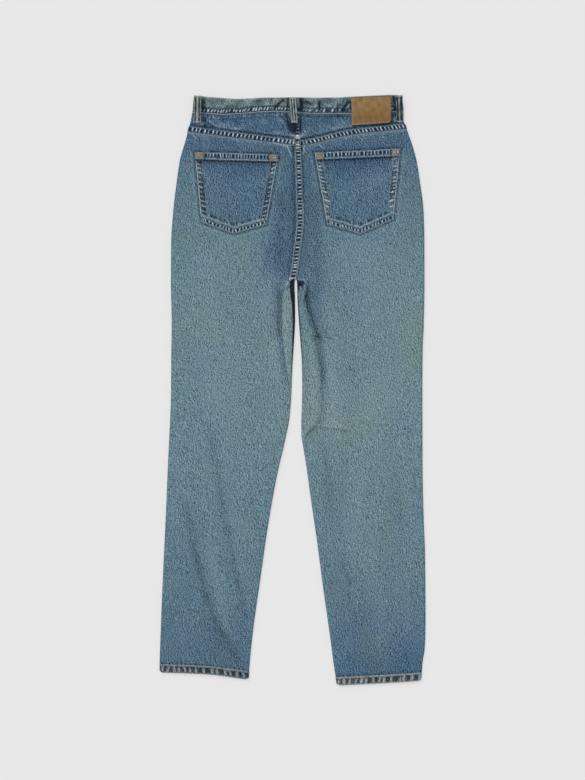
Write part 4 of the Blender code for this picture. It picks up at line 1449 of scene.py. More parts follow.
STITCHED = 2
YOKE_TONES = ((0, 0), (1, 0.05), (2, -0.1), (8.2, -0.1), (9, -0.4), (10.2, -0.1), (11.3, 0.2), (12.5, 0.4))
SEAT_TONES = ((0, -0.1), (1.2, 0.0), (2.4, -0.1), (8.8, -0.1), (9.6, -0.3), (11.2, 0.1), (12.5, 0.2))
HEM_TONES = (
    (0, 0.55), (1.2, 0.4), (2.4, 0.1), (3.5, 0.0), (9.5, -0.05),
    (11.0, -0.4), (12.4, 0.1), (14.0, 0.35), (15.0, 0.5), (16.0, 0.2),
)


def across_steps(width: float, pitch: float = 1.3) -> Array:
    """Places across a strip, closest at its edges; number STITCHED from each edge is on its stitching."""
    count = max(2, round((width - 4.0) / pitch) + 1)
    edge = np.array([0.0, 0.5, 1.2])
    return np.concatenate([edge, np.linspace(2.0, width - 2.0, count), width - edge[::-1]])


@dataclass
class Gather:
    """How a doubled strip of cloth is raised and worn between its two rows of stitches."""

    width: float
    length: float
    seed: int
    zone: tuple[float, float]
    tones: Sequence[Corner]
    pitch: float = 7.0
    lean: float = 0.0
    jitter: float = 0.13
    fullness: float = 0.38
    lift: float = FELL_LIFT
    depth: float = 0.35
    contrast: float = 1.45

    def __post_init__(self) -> None:
        """Place the rungs, and the finer flecks where the edges are worn."""
        self.rungs = Rungs(self.length, self.pitch, self.seed, self.lean, self.jitter, self.fullness)
        self.flecks = Rungs(self.length, 3.9, self.seed + 50)
        self.tone = Curve(*zip(*self.tones))

    def middle(self, across: Array) -> Array:
        """1 where the rungs are and 0 beside them."""
        return between(across, *self.zone, 0.9)

    def raised(self, along: Array, across: Array) -> Array:
        """Height of the strip's outside above the cloth under it."""
        edge = np.minimum(across, self.width - across)
        rise = self.lift * (0.45 + 0.55 * ease(edge / 1.2)) - 0.2 * bell((edge - 2.0) / 0.9)
        return rise + self.depth * self.rungs(along, across) * self.middle(across)

    def rub_and_shading(self, along: Array, across: Array) -> Array:
        """How worn each place is, from -1 to 1."""
        bars = self.contrast * self.rungs(along, across) * self.middle(across)
        return bars + self.tone(across) * (0.85 + 0.15 * self.flecks(along, across))


def dress(obj: Piece, slot: str, *nodes: str) -> Piece:
    """Hide the parts of the model that a piece stands for, and give the piece back."""
    if nodes:
        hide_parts(*nodes)
    return obj


@dataclass
class YokeSeam:
    """The felled band below the yoke on one side, folded from the back leg."""

    leg: Leg
    pitch: float = 1.5

    def build(self, stitching: Stitching) -> Piece:
        """Make the band and its two rows of stitches."""
        leg = self.leg
        across = across_steps(FELL_WIDTH)
        sections = [Section(leg, lowered(yoke_seam, SEAM_GAP / 2 + t)) for t in across]
        stop = FELL_WIDTH - 0.5 if leg.inward > 0 else 0.3
        ends = [s.back_end - stop for s in sections]
        runs = np.array([np.linspace(0.6, end, int(ends[0] / self.pitch)) for end in ends])
        down = np.broadcast_to(across[:, None], runs.shape)
        pitch = 7.4 if leg.inward > 0 else 6.8
        gather = Gather(FELL_WIDTH, 320, leg.seed + 31, (1.6, 8.6), YOKE_TONES, pitch, 0.05)
        outside, inside = lay(sections, runs, gather.raised(runs, down)), lay(sections, runs, BED)
        x, y = outside[..., 0], outside[..., 1]
        fade, green = body_wear(x, y)
        paler = bell((x - centre_seam(y)) / 60)
        rub_and_shading = gather.rub_and_shading(runs, down) + stroke_rub_and_shading(x, y)
        wear_and_shading = wear_and_shading_of(fade * 0.6 + 0.25 * paler, rub_and_shading, green + 0.4 * paler)
        for row in (STITCHED, -1 - STITCHED):
            stitching.row(outside[row, 2:])
        obj = shell(f"yoke_band_{leg.name}", outside, inside, wear_and_shading, Finish.SEAM, leg.inward < 0)
        return dress(obj, "denim")


@dataclass
class SeatSeam:
    """The felled band down the middle of the seat, which ends in a bar at the crotch."""

    top: float = 511.0
    foot: float = 203.2
    pitch: float = 1.35
    pale_top: float = 484.0
    pale_foot: float = 438.0
    stitched_below: float = 477.0

    def build(self, stitching: Stitching) -> Piece:
        """Make the band and its two rows of stitches."""
        ys = np.linspace(self.top, self.foot, int((self.top - self.foot) / self.pitch))
        across = across_steps(FELL_WIDTH)[::-1]
        sections = [Section(LEFT, level_line(float(y))) for y in ys]
        runs = np.array([s.back_end - SEAM_GAP / 2 - across for s in sections])
        down = np.broadcast_to(self.top - ys[:, None], runs.shape)
        over = np.broadcast_to(across, runs.shape)
        gather = Gather(FELL_WIDTH, 320, 71, (2.4, 9.6), SEAT_TONES, 6.0, -0.1, jitter=0.2, contrast=1.25)
        on_yoke_band = bell((ys[:, None] - 458) / 8) * FELL_LIFT * 0.8
        outside = lay(sections, runs, gather.raised(down, over) + on_yoke_band)
        inside = lay(sections, runs, BED)
        x, y = outside[..., 0], outside[..., 1]
        pale = ease((y - self.pale_foot) / 6) * ease((self.pale_top - y) / 10)
        foot = bell((y - self.foot - 2) / 3)
        middle = between(over, 2.0, FELL_WIDTH - 1.5, 1.5)
        rub_and_shading = gather.rub_and_shading(down, over) * (1 - 0.45 * pale) + (0.4 * middle - 0.3) * pale + 0.6 * foot
        rub_and_shading += stroke_rub_and_shading(x, y)
        fade = 0.12 + 0.4 * pale * middle + 0.15 * ease((330 - y) / 40)
        for k in (STITCHED, -1 - STITCHED):
            stitching.row(outside[ys < self.stitched_below, k])
        wear_and_shading = wear_and_shading_of(fade, rub_and_shading, 0.15 + 0.9 * pale)
        return dress(shell("seat_band", outside, inside, wear_and_shading, Finish.SEAM), "denim")


@dataclass
class Hem:
    """The hem round the opening of one leg, turned up inside and stitched."""

    leg: Leg
    pitch: float = 1.6
    turned_up: float = 14.0
    corner: float = 3.4
    corner_reach: float = 7.0
    corner_height: float = 9.0
    worn: float = 0.0

    def line(self, high: float) -> Line:
        """The line that far above the lower edge, which is rounded at its two corners."""
        leg, rise = self.leg, self.corner * max(0.0, 1 - high / self.corner_height)

        def rounded(x: Array) -> Array:
            """y of the line at x."""
            y = leg.hem(x) + high
            edge = np.minimum(np.abs(x - leg.side(y)), np.abs(x - leg.inner_edge(y)))
            return y + rise * np.maximum(0.0, 1 - edge / self.corner_reach) ** 2

        return rounded

    def ring(self, sections: Sequence[Section], out: Sequence[Array], runs: Array) -> Array:
        """Points all round the leg, over the top and back underneath.

        Args:
            sections: one section for each row.
            out: for each row, how far its points on top are moved out.
            runs: for each row, how far its points are from the side seam.

        Returns:
            A grid of points.
        """
        rows = []
        for s, u, r in zip(sections, out, runs):
            under = np.minimum(np.asarray(u), 0.0)
            over = s.points(r, True, under + (u - under) * ease(r / s.side_arc))
            rows.append(np.concatenate([over, s.points(r, False, under)[::-1]]))
        return np.array(rows)

    def build(self, stitching: Stitching) -> Piece:
        """Make the hem and its row of stitches."""
        leg = self.leg
        across = across_steps(HEM_DEPTH)[::-1]
        sections = [Section(leg, self.line(t)) for t in across]
        ends = [s.fold_start + s.fold_arc for s in sections]
        runs = np.array([np.linspace(0.2, end, int(ends[0] / self.pitch)) for end in ends])
        high = np.broadcast_to(across[:, None], runs.shape)
        gather = Gather(
            HEM_DEPTH, 330, leg.seed + 61, (2.0, 12.2), HEM_TONES, 11.6, 0.1, jitter=0.4, fullness=0.46,
            lift=HEM_LIFT, depth=0.45, contrast=0.74,
        )
        up = gather.raised(runs, high)
        outside = self.ring(sections, up, runs)
        inner = [Section(leg, self.line(t)) for t in (0.4, self.turned_up)]
        deep = np.full(runs.shape[1], -CLOTH - HEM_LIFT)
        turned = self.ring(inner, [deep, deep], runs[-2:])
        grid = np.concatenate([outside, turned])
        rub_and_shading = gather.rub_and_shading(runs, high) + self.worn
        rub_and_shading = np.concatenate([rub_and_shading, rub_and_shading[:, ::-1]], axis=1)
        rub_and_shading = np.concatenate([rub_and_shading, np.full((2, rub_and_shading.shape[1]), -0.5)])
        low = np.concatenate([across, [0.0, 0.0]])[:, None]
        fade, green = body_wear(grid[..., 0], grid[..., 1])
        wear_and_shading = wear_and_shading_of(fade + 0.1 + 0.25 * bell(low / 2.5), rub_and_shading, green + 0.5 * bell(low / 3))
        half = runs.shape[1]
        path = outside[STITCHED]
        stitching.row(path[2 : half - 1])
        stitching.row(path[half + 1 : -2], -1.0, THREAD_UNDER)
        faces = grid_faces(*grid.shape[:2], leg.inward < 0)
        obj = mesh_object(f"hem_{leg.name}", grid.reshape(-1, 3), faces, wear_and_shading.reshape(-1, 4), Finish.HEM)
        return dress(obj, "denim")


@dataclass
class BackPocket:
    """A patch pocket on the seat: its mouth is hemmed and its other edges are turned in and stitched."""

    leg: Leg
    corners: Corners
    seed: int
    pitch: float = 1.15
    turned_in: float = 16.5
    turned_in_foot: float = 11.0
    side_row: float = 12.0
    foot_row: float = 11.6
    mouth_pitch: float = 5.7
    base: float = SEAM_GAP + BED
    gathers_from: float = -210.0
    gathers_top: float = 450.0

    def place(self, u: Array, v: Array) -> tuple[Array, Array]:
        """x and y of a place u of the way across and v of the way down."""
        c = self.corners
        top = [mix(a, b, u) for a, b in zip(c.top_left, c.top_right)]
        left = [mix(a, b, np.clip(2 * u, 0, 1)) for a, b in zip(c.bottom_left, c.tip)]
        right = [mix(a, b, np.clip(2 * u - 1, 0, 1)) for a, b in zip(c.tip, c.bottom_right)]
        foot = [np.where(u < 0.5, a, b) for a, b in zip(left, right)]
        return mix(top[0], foot[0], v), mix(top[1], foot[1], v)

    def inset_path(self, side: float, foot: float) -> Array:
        """x and y of a line inside the other edges, from mouth round to mouth.

        Args:
            side: how far it is from the sides.
            foot: how far it is from the lower edges.

        Returns:
            An array of its corners.
        """
        points = np.roll(np.array(self.corners), -1, axis=0)
        top = points[-1], points[0] - points[-1]
        path, lines = [], [top]
        for a, b, inset in zip(points, points[1:], (side, foot, foot, side)):
            along = (b - a) / np.linalg.norm(b - a)
            lines.append((a + np.array([along[1], -along[0]]) * inset, along))
        lines.append(top)
        for (p, d), (q, e) in zip(lines, lines[1:]):
            t = ((q[0] - p[0]) * e[1] - (q[1] - p[1]) * e[0]) / (d[0] * e[1] - d[1] * e[0])
            path.append(p + d * t)
        return np.array(path)

    def on_surface(self, path: Array) -> Array:
        """A line of places raised onto the pocket, with a point every few millimetres."""
        pieces = []
        for a, b in zip(path, path[1:]):
            count = max(2, int(np.linalg.norm(b - a) / 3))
            t = np.linspace(0, 1, count)[:, None]
            pieces.append(mix(a, b, t))
        x, y = np.concatenate(pieces).T
        return stacked(x, y, self.leg.top_at(x, y) + self.base + self.up(x, y))

    def zones(self, x: Array, y: Array) -> tuple[Array, ...]:
        """What each place is near.

        Args:
            x: across the garment.
            y: along it.

        Returns:
            How far inside the mouth, the sides and the lower edges it is; how much it belongs to each;
            and the puckers of each, and of the cloth above the lower edges, from -1 to 1.
        """
        mouth, sides, feet = edge_depths(self.corners, x, y)
        in_mouth = ease(POCKET_HEM + 0.5 - mouth)
        limit = mix(self.turned_in, self.turned_in_foot, np.clip(mouth / 130, 0, 1))
        in_sides = ease((limit - sides) / 2.0) * (1 - in_mouth)
        in_feet = ease((self.foot_row + 1.2 - feet) / 1.2) * (1 - in_mouth)
        along, down, seed = x - self.gathers_from, self.gathers_top - y, self.seed
        at_mouth = Rungs(420, self.mouth_pitch, seed, jitter=0.16, fullness=0.38)(along, mouth)
        at_sides = Rungs(420, 8.2, seed + 1, -0.6, fullness=0.4)(down, sides)
        at_feet = Rungs(420, 6.3, seed + 2, jitter=0.16, fullness=0.4)(along, feet)
        above_feet = Rungs(420, 8.0, seed + 3)(along, feet)
        return mouth, sides, feet, in_mouth, in_sides, in_feet, at_mouth, at_sides, at_feet, above_feet

    def up(self, x: Array, y: Array) -> Array:
        """Height of the pocket's outside above its inner side."""
        mouth, sides, feet, in_mouth, in_sides, in_feet, *puckers = self.zones(x, y)
        at_mouth, at_sides, at_feet, above_feet = puckers
        edge = np.minimum(np.minimum(mouth, sides), feet)
        rise = CLOTH + POCKET_HEM_LIFT * in_mouth + 0.35 * np.maximum(in_sides, in_feet)
        rise = rise - 0.55 * (1 - ease(edge / 1.1))
        rise += 0.3 * in_mouth * at_mouth * ease((mouth - 1.5) / 2)
        rise += 0.35 * in_sides * at_sides * ease((sides - 1.5) / 2) * (1 - in_feet)
        rise += 0.3 * in_feet * at_feet * ease((feet - 1.5) / 2)
        return rise + marked(feet, (0.3, 13, 3.5)) * above_feet * (1 - in_mouth)

    def wear_and_shading(self, x: Array, y: Array) -> Array:
        """Fade, rub, green and streak of each place."""
        mouth, sides, feet, in_mouth, in_sides, in_feet, *puckers = self.zones(x, y)
        at_mouth, at_sides, at_feet, above_feet = puckers
        inner = 1 - in_mouth
        folded = at_sides + 0.4 * ripple(0 * x, y, 70, self.seed + 9, 3)
        rub_and_shading = in_mouth * ((1.25 * at_mouth - 0.12) * between(mouth, 2.6, 9.8, 0.9))
        rub_and_shading += in_mouth * marked(mouth, (0.35, 2.0, 0.9), (-0.4, 0, 0.9))
        # The last two marks, below the mouth's hem, are painted shadow of its raised edge.
        rub_and_shading += marked(mouth, (-0.3, 9.8, 0.9), (0.45, 12.4, 0.9), (-1.0, 15.8, 1.5), (-0.28, 19, 5))
        across = ease((sides - 2.2) / 1.0) * ease((15.0 - sides) / 3.0)
        rub_and_shading += 0.92 * in_sides * (np.clip(folded, -0.9, 0.8) + 0.06) * across * (1 - in_feet)
        rub_and_shading += inner * marked(sides, (0.6, 0.6, 0.8), (-0.4, 2.8, 1.0))
        rub_and_shading += in_feet * (1.5 * at_feet - 0.1) * between(feet, 2.2, 7.0, 0.8)
        rub_and_shading += inner * marked(feet, (0.45, 0, 0.8), (-0.3, 1.7, 0.7), (-0.45, 7.9, 1.1), (0.4, 11.8, 1.2))
        rub_and_shading += marked(feet, (0.5, 16.5, 2.6)) * (above_feet - 0.5) * inner * (1 - in_sides)
        c = self.corners
        end = np.minimum(x - c.top_left[0], c.top_right[0] - x)
        shaded = inner * (1 - in_sides) * ease((60 - mouth) / 45)
        # A dark line just past each bar tack is painted shade beside its raised thread.
        rub_and_shading += marked(end, (-0.9, 18.4, 1.3)) * in_mouth - 0.08 * shaded
        fade = 0.18 - 0.14 * shaded + 0.22 * in_sides + 0.1 * in_feet
        fade += 0.05 * ripple(x, y, 90, self.seed + 8)
        streak = marked(mouth, (0.5, POCKET_HEM + 6, 9)) + marked(feet, (0.2, 22, 14))
        green = 0.05 + 0.5 * in_sides * ease(folded) * ease((mouth - 40) / 40)
        return wear_and_shading_of(fade, rub_and_shading, green, streak)

    def build(self, stitching: Stitching, tacks: Sequence[Stitching]) -> Piece:
        """Make the pocket, its rows of stitches and the bars at the ends of its mouth."""
        c = self.corners
        wide = c.top_right[0] - c.top_left[0]
        high = c.top_left[1] - c.tip[1]
        us = np.unique(np.concatenate([np.linspace(0, 1, int(wide / self.pitch)), [0.5, 0.004, 0.996]]))
        vs = np.unique(np.concatenate([np.linspace(0, 1, int(high / self.pitch)), [0.004, 0.993]]))
        u, v = np.meshgrid(us, vs)
        x, y = self.place(u, v)
        under = self.leg.top_at(x, y) + self.base
        outside, inside = stacked(x, y, under + self.up(x, y)), stacked(x, y, under)
        name = f"back_pocket_{self.leg.name}"
        obj = shell(f"{name}_cloth", outside, inside, self.wear_and_shading(x, y), Finish.POCKET, lined=False)
        for side, foot in ((0.6, 0.5), (self.side_row, self.foot_row)):
            stitching.row(self.on_surface(self.inset_path(side, foot)))
        for drop in (1.9, POCKET_HEM - 1.7):
            ends = np.array([c.top_left, c.top_right]) + (0.0, -drop)
            stitching.row(self.on_surface(ends + ((2.0, 0.0), (-2.0, 0.0))))
        CUTTING.add(obj, wide, high, float(np.mean(x[:, -1] - x[:, 0])) / wide * 0.94)
        self.add_tack(tacks, c.top_left, 1)
        self.add_tack(tacks, c.top_right, -1)
        return dress(obj, "dark_denim", name)

    def add_tack(self, tacks: Sequence[Stitching], corner: Corner, inwards: int) -> None:
        """Add the bar of close thread at one end of the mouth.

        Args:
            tacks: what gathers the pale threads and the coloured ones.
            corner: the pocket's corner.
            inwards: 1 where the pocket lies to the right of it, else -1.
        """
        rng = np.random.default_rng(self.seed + inwards + 20)
        for drop in np.arange(1.2, 12.8, 0.82):
            near, far = rng.uniform(0.4, 1.6), rng.uniform(15.0, 18.0)
            xs = corner[0] + inwards * np.array([near, far])
            ys = np.full(2, corner[1] - drop) + rng.normal(0.0, 0.1, 2)
            zs = self.leg.top_at(xs, ys) + self.base + self.up(xs, ys) + 0.25
            places = stacked(xs, ys, zs)
            coloured = int(math.sin(drop * 1.45 + 0.8) > 0.3)
            tacks[coloured].add(places[:1], places[1:], np.array([[0.0, 0.0, 1.0]]))


@dataclass
class Waistband:
    """One strip round the waist, from its buttoned end under the front back to the other end."""

    pitch: float = 1.6
    opening: float = WAIST_MIDDLE + 20.0
    gap: float = 0.35
    roped: float = 9.6
    gathers_from: float = -230.0
    left_end: float = -184.0
    right_end: float = 205.0

    def route(self, left: float, right: float) -> tuple[Array, Array, Array, Array, Array]:
        """Places round the waist at one height.

        Args:
            left: x of the left end of the flattened band.
            right: x of its right end.

        Returns:
            x and z of the outside, the x and z that point out of it, and how much it is in front.
        """
        radius, middle = (BAND_TOP - BAND_UNDER) / 2, (BAND_TOP + BAND_UNDER) / 2
        turn = np.linspace(0.0, math.pi, 10)
        start = np.linspace(self.opening - SEAM_GAP, left + radius, 90)[:-1]
        back = np.linspace(left + radius, right - radius, round(2 * WAIST_HALF / self.pitch))[1:-1]
        end = np.linspace(right - radius, self.opening, 74)[1:]
        one, sweep, rise = np.ones_like, radius * (1 - np.sin(turn)), radius * np.cos(turn)
        x = np.concatenate([start, left + sweep, back, right - sweep, end])
        low, top = one(start) * BAND_UNDER, one(back) * BAND_TOP
        z = np.concatenate([low, middle - rise, top, middle + rise, one(end) * BAND_UNDER])
        nx = np.concatenate([0 * start, -np.sin(turn), 0 * back, np.sin(turn), 0 * end])
        nz = np.concatenate([-one(start), -np.cos(turn), one(back), np.cos(turn), -one(end)])
        round_it = ease(turn / math.pi)
        front = np.concatenate([one(start), 1 - round_it, 0 * back, round_it, one(end)])
        return x, z, nx, nz, front

    def relief(self, along: Array, high: Array, tall: Array) -> tuple[Array, Array, Array]:
        """Height, rub and fade of the band's outside.

        Args:
            along: x of each place.
            high: how far it is above the seam.
            tall: how tall the band is there.

        Returns:
            The three of each place.
        """
        from_top = tall - high
        start, swing = along - self.gathers_from, 1.6 * ripple(along, high, 33, 8)
        near = Rungs(460, 5.8, 5, -0.45)(start + swing, high - 8)
        ropes = np.where(along < 8, near, Rungs(460, 9.6, 6, -0.5)(start + 2 * swing, high - 8))
        low = ease((high - 3.0) / 1.2) * ease((self.roped + 0.5 * swing - high) / 1.6)
        upper = ease((high - self.roped - 1.5 - 0.5 * swing) / 3.0)
        right = ease((along - 4) / 8)
        # Its marks include painted shadow beside the belt loops and the patch.
        marks = soft_lines(along, high, BAND_WEAR_AND_SHADING_STROKES, 1.0)
        height = 0.6 * low * ropes + 0.35 * upper * ripple(along, high, 52, 3) + 0.4 * marks
        height = height - 0.9 * (1 - ease(from_top / 2.2)) - 0.5 * (1 - ease(high / 1.4))
        height += marked(high, (-0.3, 2.4, 0.9)) + marked(from_top, (-0.25, 2.6, 1.1))
        rub_and_shading = low * (mix(1.35, 0.8, right) * ropes + mix(0.2, 0.0, right)) + marks
        rub_and_shading += upper * (0.16 * ripple(along, high * 1.6, 26, 4) - 0.02 * right)
        # The dark line just above the stitching at the seam is painted shadow.
        rub_and_shading += marked(high, (0.5, 0.6, 0.9), (-0.75, 2.6, 0.9), (-0.6, self.roped + 0.6, 1.3))
        rub_and_shading += marked(from_top, (0.3, 0, 1.4))
        return height, rub_and_shading, 0.25 + (0.45 - 0.2 * right) * upper

    def build(self, stitching: Stitching) -> Piece:
        """Make the band and the rows of stitches along its two edges."""
        shares = across_steps(30.0) / 30.0
        outside, inside, wear_and_shading_rows, facing = [], [], [], []
        for share in shares[::-1]:

            def height(x: Array, share: float = share) -> Array:
                """y of this row where it is behind."""
                return mix(waist_seam(x) + self.gap, waist_top(x), share)

            left = float(LEFT.side(height(np.array(self.left_end))))
            right = float(RIGHT.side(height(np.array(self.right_end))))
            x, z, nx, nz, front = self.route(left, right)
            y = height(x) - front_dip(x) * front
            tall = waist_top(x) - waist_seam(x) - self.gap
            up, rub_and_shading, fade = self.relief(x, share * tall, tall)
            up = np.where(front > 0.5, np.minimum(up, 0.2) * 0.5, up)
            outside.append(stacked(x + nx * up, y, z + nz * up))
            inside.append(stacked(x - nx * BAND_CLOTH, y, z - nz * BAND_CLOTH))
            green = 0.1 + mix(0.75, 0.4, ease((x - 4) / 8)) * ease((share * tall - self.roped) / 6)
            wear_and_shading_rows.append(wear_and_shading_of(fade, rub_and_shading, green, 0.3))
            facing.append(nz)
        outside, inside, wear_and_shading_rows = np.array(outside), np.array(inside), np.array(wear_and_shading_rows)
        for row in (STITCHED, -1 - STITCHED):
            behind = facing[row] > 0.95
            first, last = behind.argmax() - 9, len(behind) - behind[::-1].argmax() + 9
            stitching.row(outside[row][behind])
            stitching.row(outside[row][:first], -1.0, THREAD_UNDER)
            stitching.row(outside[row][last:], -1.0, THREAD_UNDER)
        obj = shell("waistband_cloth", outside, inside, wear_and_shading_rows, Finish.BAND, True)
        middle = outside[len(outside) // 2]
        round_it = float(np.sum(np.linalg.norm(np.diff(middle, axis=0), axis=1)))
        CUTTING.add(obj, float(np.mean(waist_top(middle[:, 0]) - waist_seam(middle[:, 0]))), round_it)
        return dress(obj, "denim", "waistband")


@dataclass
class BeltLoop:
    """A ridged strip that bows over the waistband, from its top edge to below its seam."""

    name: str
    x: float
    lean: float
    twist: float
    lift: float
    underneath: bool
    seed: int
    length: float = 45.5
    worn: float = -0.08
    columns: int = 19
    ridge_gap: float = 4.7
    off_band: float = 33.5
    settling: float = 5.5

    def build(self, tacks: Stitching) -> Piece:
        """Make the loop and the close thread across its ends."""
        rng = np.random.default_rng(self.seed)
        places = (0.3, 5.0, 13.0, 23.0, self.off_band, self.off_band + self.settling, self.length)
        out_of = Curve(places, (0.3, 0.4, 0.9, 0.9, 0.4, 0.3, 0.3))
        ends = np.array([self.length - 0.4, self.length])
        along = np.concatenate([[0.3, 0.7], np.linspace(1.6, self.length - 1.2, 34), ends])
        side = np.linspace(-0.5, 0.5, self.columns) * LOOP_WIDTH
        along, side = np.meshgrid(along, side, indexing="ij")
        t = along / self.length
        turn = math.radians(self.twist) * np.sin(math.pi * t)
        top = float((front_waist_top if self.underneath else waist_top)(self.x))
        y = top - along
        x = self.x + self.lean * t + side * np.cos(turn)
        tilt = 0.6 * (LOOP_WIDTH / 2 * np.abs(np.sin(turn)) - side * np.sin(turn))
        ridge = np.cos(2 * math.pi * side / self.ridge_gap)
        from_end = np.minimum(along, self.length - along)
        edge = ease(LOOP_WIDTH / 2 - np.abs(side)) * ease(from_end / 1.2)
        bumps = 0.3 * ridge + 0.12 * ripple(x, y, 9, self.seed)
        seated = ease((along - self.off_band) / self.settling)
        base = out_of(along) + tilt
        if self.underneath:
            bed = mix(BAND_UNDER, UNDER(y), seated)
            outer, inner = bed - base - LOOP_CLOTH - 0.2 * bumps + 0.5 * (1 - edge), bed - base
        else:
            leg_top = np.where(self.x < 0, LEFT.top_at(x, y), RIGHT.top_at(x, y))
            bed = mix(BAND_TOP, leg_top + self.lift, seated)
            outer, inner = bed + base + LOOP_CLOTH + bumps - 0.7 * (1 - edge), bed + base
        outside, inside = stacked(x, y, outer), stacked(x, y, inner)
        grime = ripple(x, y, 14, self.seed + 2)
        rub_and_shading = self.worn + 0.95 * ridge + 0.2 * grime + marked(along, (-0.15, 20, 9)) + 0.2 * (1 - edge)
        wear_and_shading = wear_and_shading_of(0.65 + 0.1 * grime, rub_and_shading, 0.4 + 0.3 * bell((along - 3) / 6))
        name = f"{self.name}_cloth"
        obj = shell(name, outside, inside, wear_and_shading, Finish.LOOP, self.underneath)
        up = -1.0 if self.underneath else 1.0
        for first, last in ((1.6, 3.6), (self.length - 3.4, self.length - 1.2)):
            for place in np.arange(first, last, 0.75):
                row = int(np.argmin(np.abs(along[:, 0] - place)))
                ends = outside[row][[1, -2]].copy()
                ends[:, 1] = top - place + rng.normal(0.0, 0.1, 2)
                ends[:, 2] = outside[row][:, 2].max() + 0.15 if up > 0 else outside[row][:, 2].min() - 0.05
                tacks.add(ends[:1], ends[1:], np.array([[0.0, 0.0, up]]))
        CUTTING.add(obj, LOOP_WIDTH, self.length)
        return dress(obj, "denim", self.name)


LOOPS = (
    BeltLoop("loop_centre_back", 0.8, 4.0, 0.0, FELL_LIFT, False, 201, 47.5),
    BeltLoop("loop_back_left", -174.2, -1.0, -30.0, 0.0, False, 211, 51.0, 0.05, ridge_gap=8.0),
    BeltLoop("loop_back_right", 197.5, 1.5, 42.0, 0.0, False, 221, 51.0, -0.4, ridge_gap=8.0),
    BeltLoop("loop_front_left", -62.0, 0.0, 0.0, 0.0, True, 231),
    BeltLoop("loop_front_right", 84.0, 0.0, 0.0, 0.0, True, 241),
)


@dataclass
class WaistPatch:
    """The bare leather patch, sewn over the waistband and the yoke below it."""

    bend: float = 9.0
    bend_start: float = 3.0
    corner: float = 8.0
    border: float = 3.4

    def build(self, stitching: Stitching) -> Piece:
        """Make the patch, its pressed border and its stitches."""
        c = PATCH
        u, v = np.meshgrid(np.linspace(0, 1, 78), np.linspace(0, 1, 54))
        left = [mix(a, b, v) for a, b in zip(c.top_left, c.bottom_left)]
        right = [mix(a, b, v) for a, b in zip(c.top_right, c.bottom_right)]
        from_foot = (1 - v) * (c.top_right[1] - c.bottom_right[1])
        cut = self.corner * (1 - np.sqrt(1 - np.clip(1 - from_foot / self.corner, 0.0, 1.0) ** 2))
        x, y = mix(left[0], right[0] - 0.8 * cut, u), mix(left[1], right[1], u)
        on_band = ease((y - waist_seam(x) + self.bend_start + self.bend) / self.bend)
        bed = mix(RIGHT.top_at(x, y), BAND_TOP, on_band) + SEAM_GAP
        wide, high = c.top_right[0] - c.top_left[0], c.top_left[1] - c.bottom_left[1]
        edge = np.minimum(np.minimum(u, 1 - u) * wide, np.minimum(v, 1 - v) * high)
        rise = PATCH_THICK - 0.6 * (1 - ease(edge / 1.4)) + marked(edge, (-0.3, self.border, 0.9))
        rise += 0.14 * ripple(x, y, 30, 301) + 0.05 * ripple(x, y, 8, 302)
        outside, inside = stacked(x, y, bed + rise), stacked(x, y, bed)
        fade = 0.85 - 0.75 * ease((v - 0.35) / 0.45) + 0.16 * ripple(x, y, 30, 303)
        rub_and_shading = marked(edge, (-0.2, self.border, 1.2)) - 0.11 * ripple(x, y, 14, 304)
        rub_and_shading += marked(v * high, (-0.5, 0, 2.2)) + marked((1 - v) * high, (0.6, 0.5, 1.1))
        # The right edge is darkened as painted shade.
        rub_and_shading += marked(u * wide, (0.4, 0.5, 1.0)) + marked((1 - u) * wide, (-0.35, 0, 1.4))
        obj = shell("waist_patch_leather", outside, inside, wear_and_shading_of(fade, rub_and_shading, 0.0), Finish.LEATHER)
        a, b = self.border / wide, self.border / high
        corners = [(a, b), (1 - a, b), (1 - a, 1 - b), (a, 1 - b)]
        for (u0, v0), (u1, v1) in zip(corners, corners[1:] + corners[:1]):
            t = np.linspace(0, 1, 30)
            columns = np.round(mix(u0, u1, t) * 77).astype(int)
            lines = np.round(mix(v0, v1, t) * 53).astype(int)
            stitching.row(outside[lines, columns], lift=0.2)
        CUTTING.add(obj, wide, high)
        return dress(obj, "leather", "waist_patch")


def turned(name: str, profile: Sequence[Corner], place: tuple[float, float, float]) -> Piece:
    """A round metal piece.

    Args:
        name: its name, which is its node's with a word added.
        profile: radius and height of its outline, from the middle of its top to that of its foot.
        place: where its axis meets height nothing.

    Returns:
        The object.
    """
    steps = 48
    angles = np.arange(steps + 1) * 2 * math.pi / steps
    radii, heights = (np.array(column)[:, None] for column in zip(*profile))
    grid = np.stack(np.broadcast_arrays(radii * np.cos(angles), radii * np.sin(angles), heights), axis=-1)
    vertices, faces = (grid + place).reshape(-1, 3), grid_faces(*grid.shape[:2], False)
    obj = mesh_object(name, vertices, faces, None, Finish.COPPER)
    return dress(obj, "copper", name.removesuffix("_metal"))


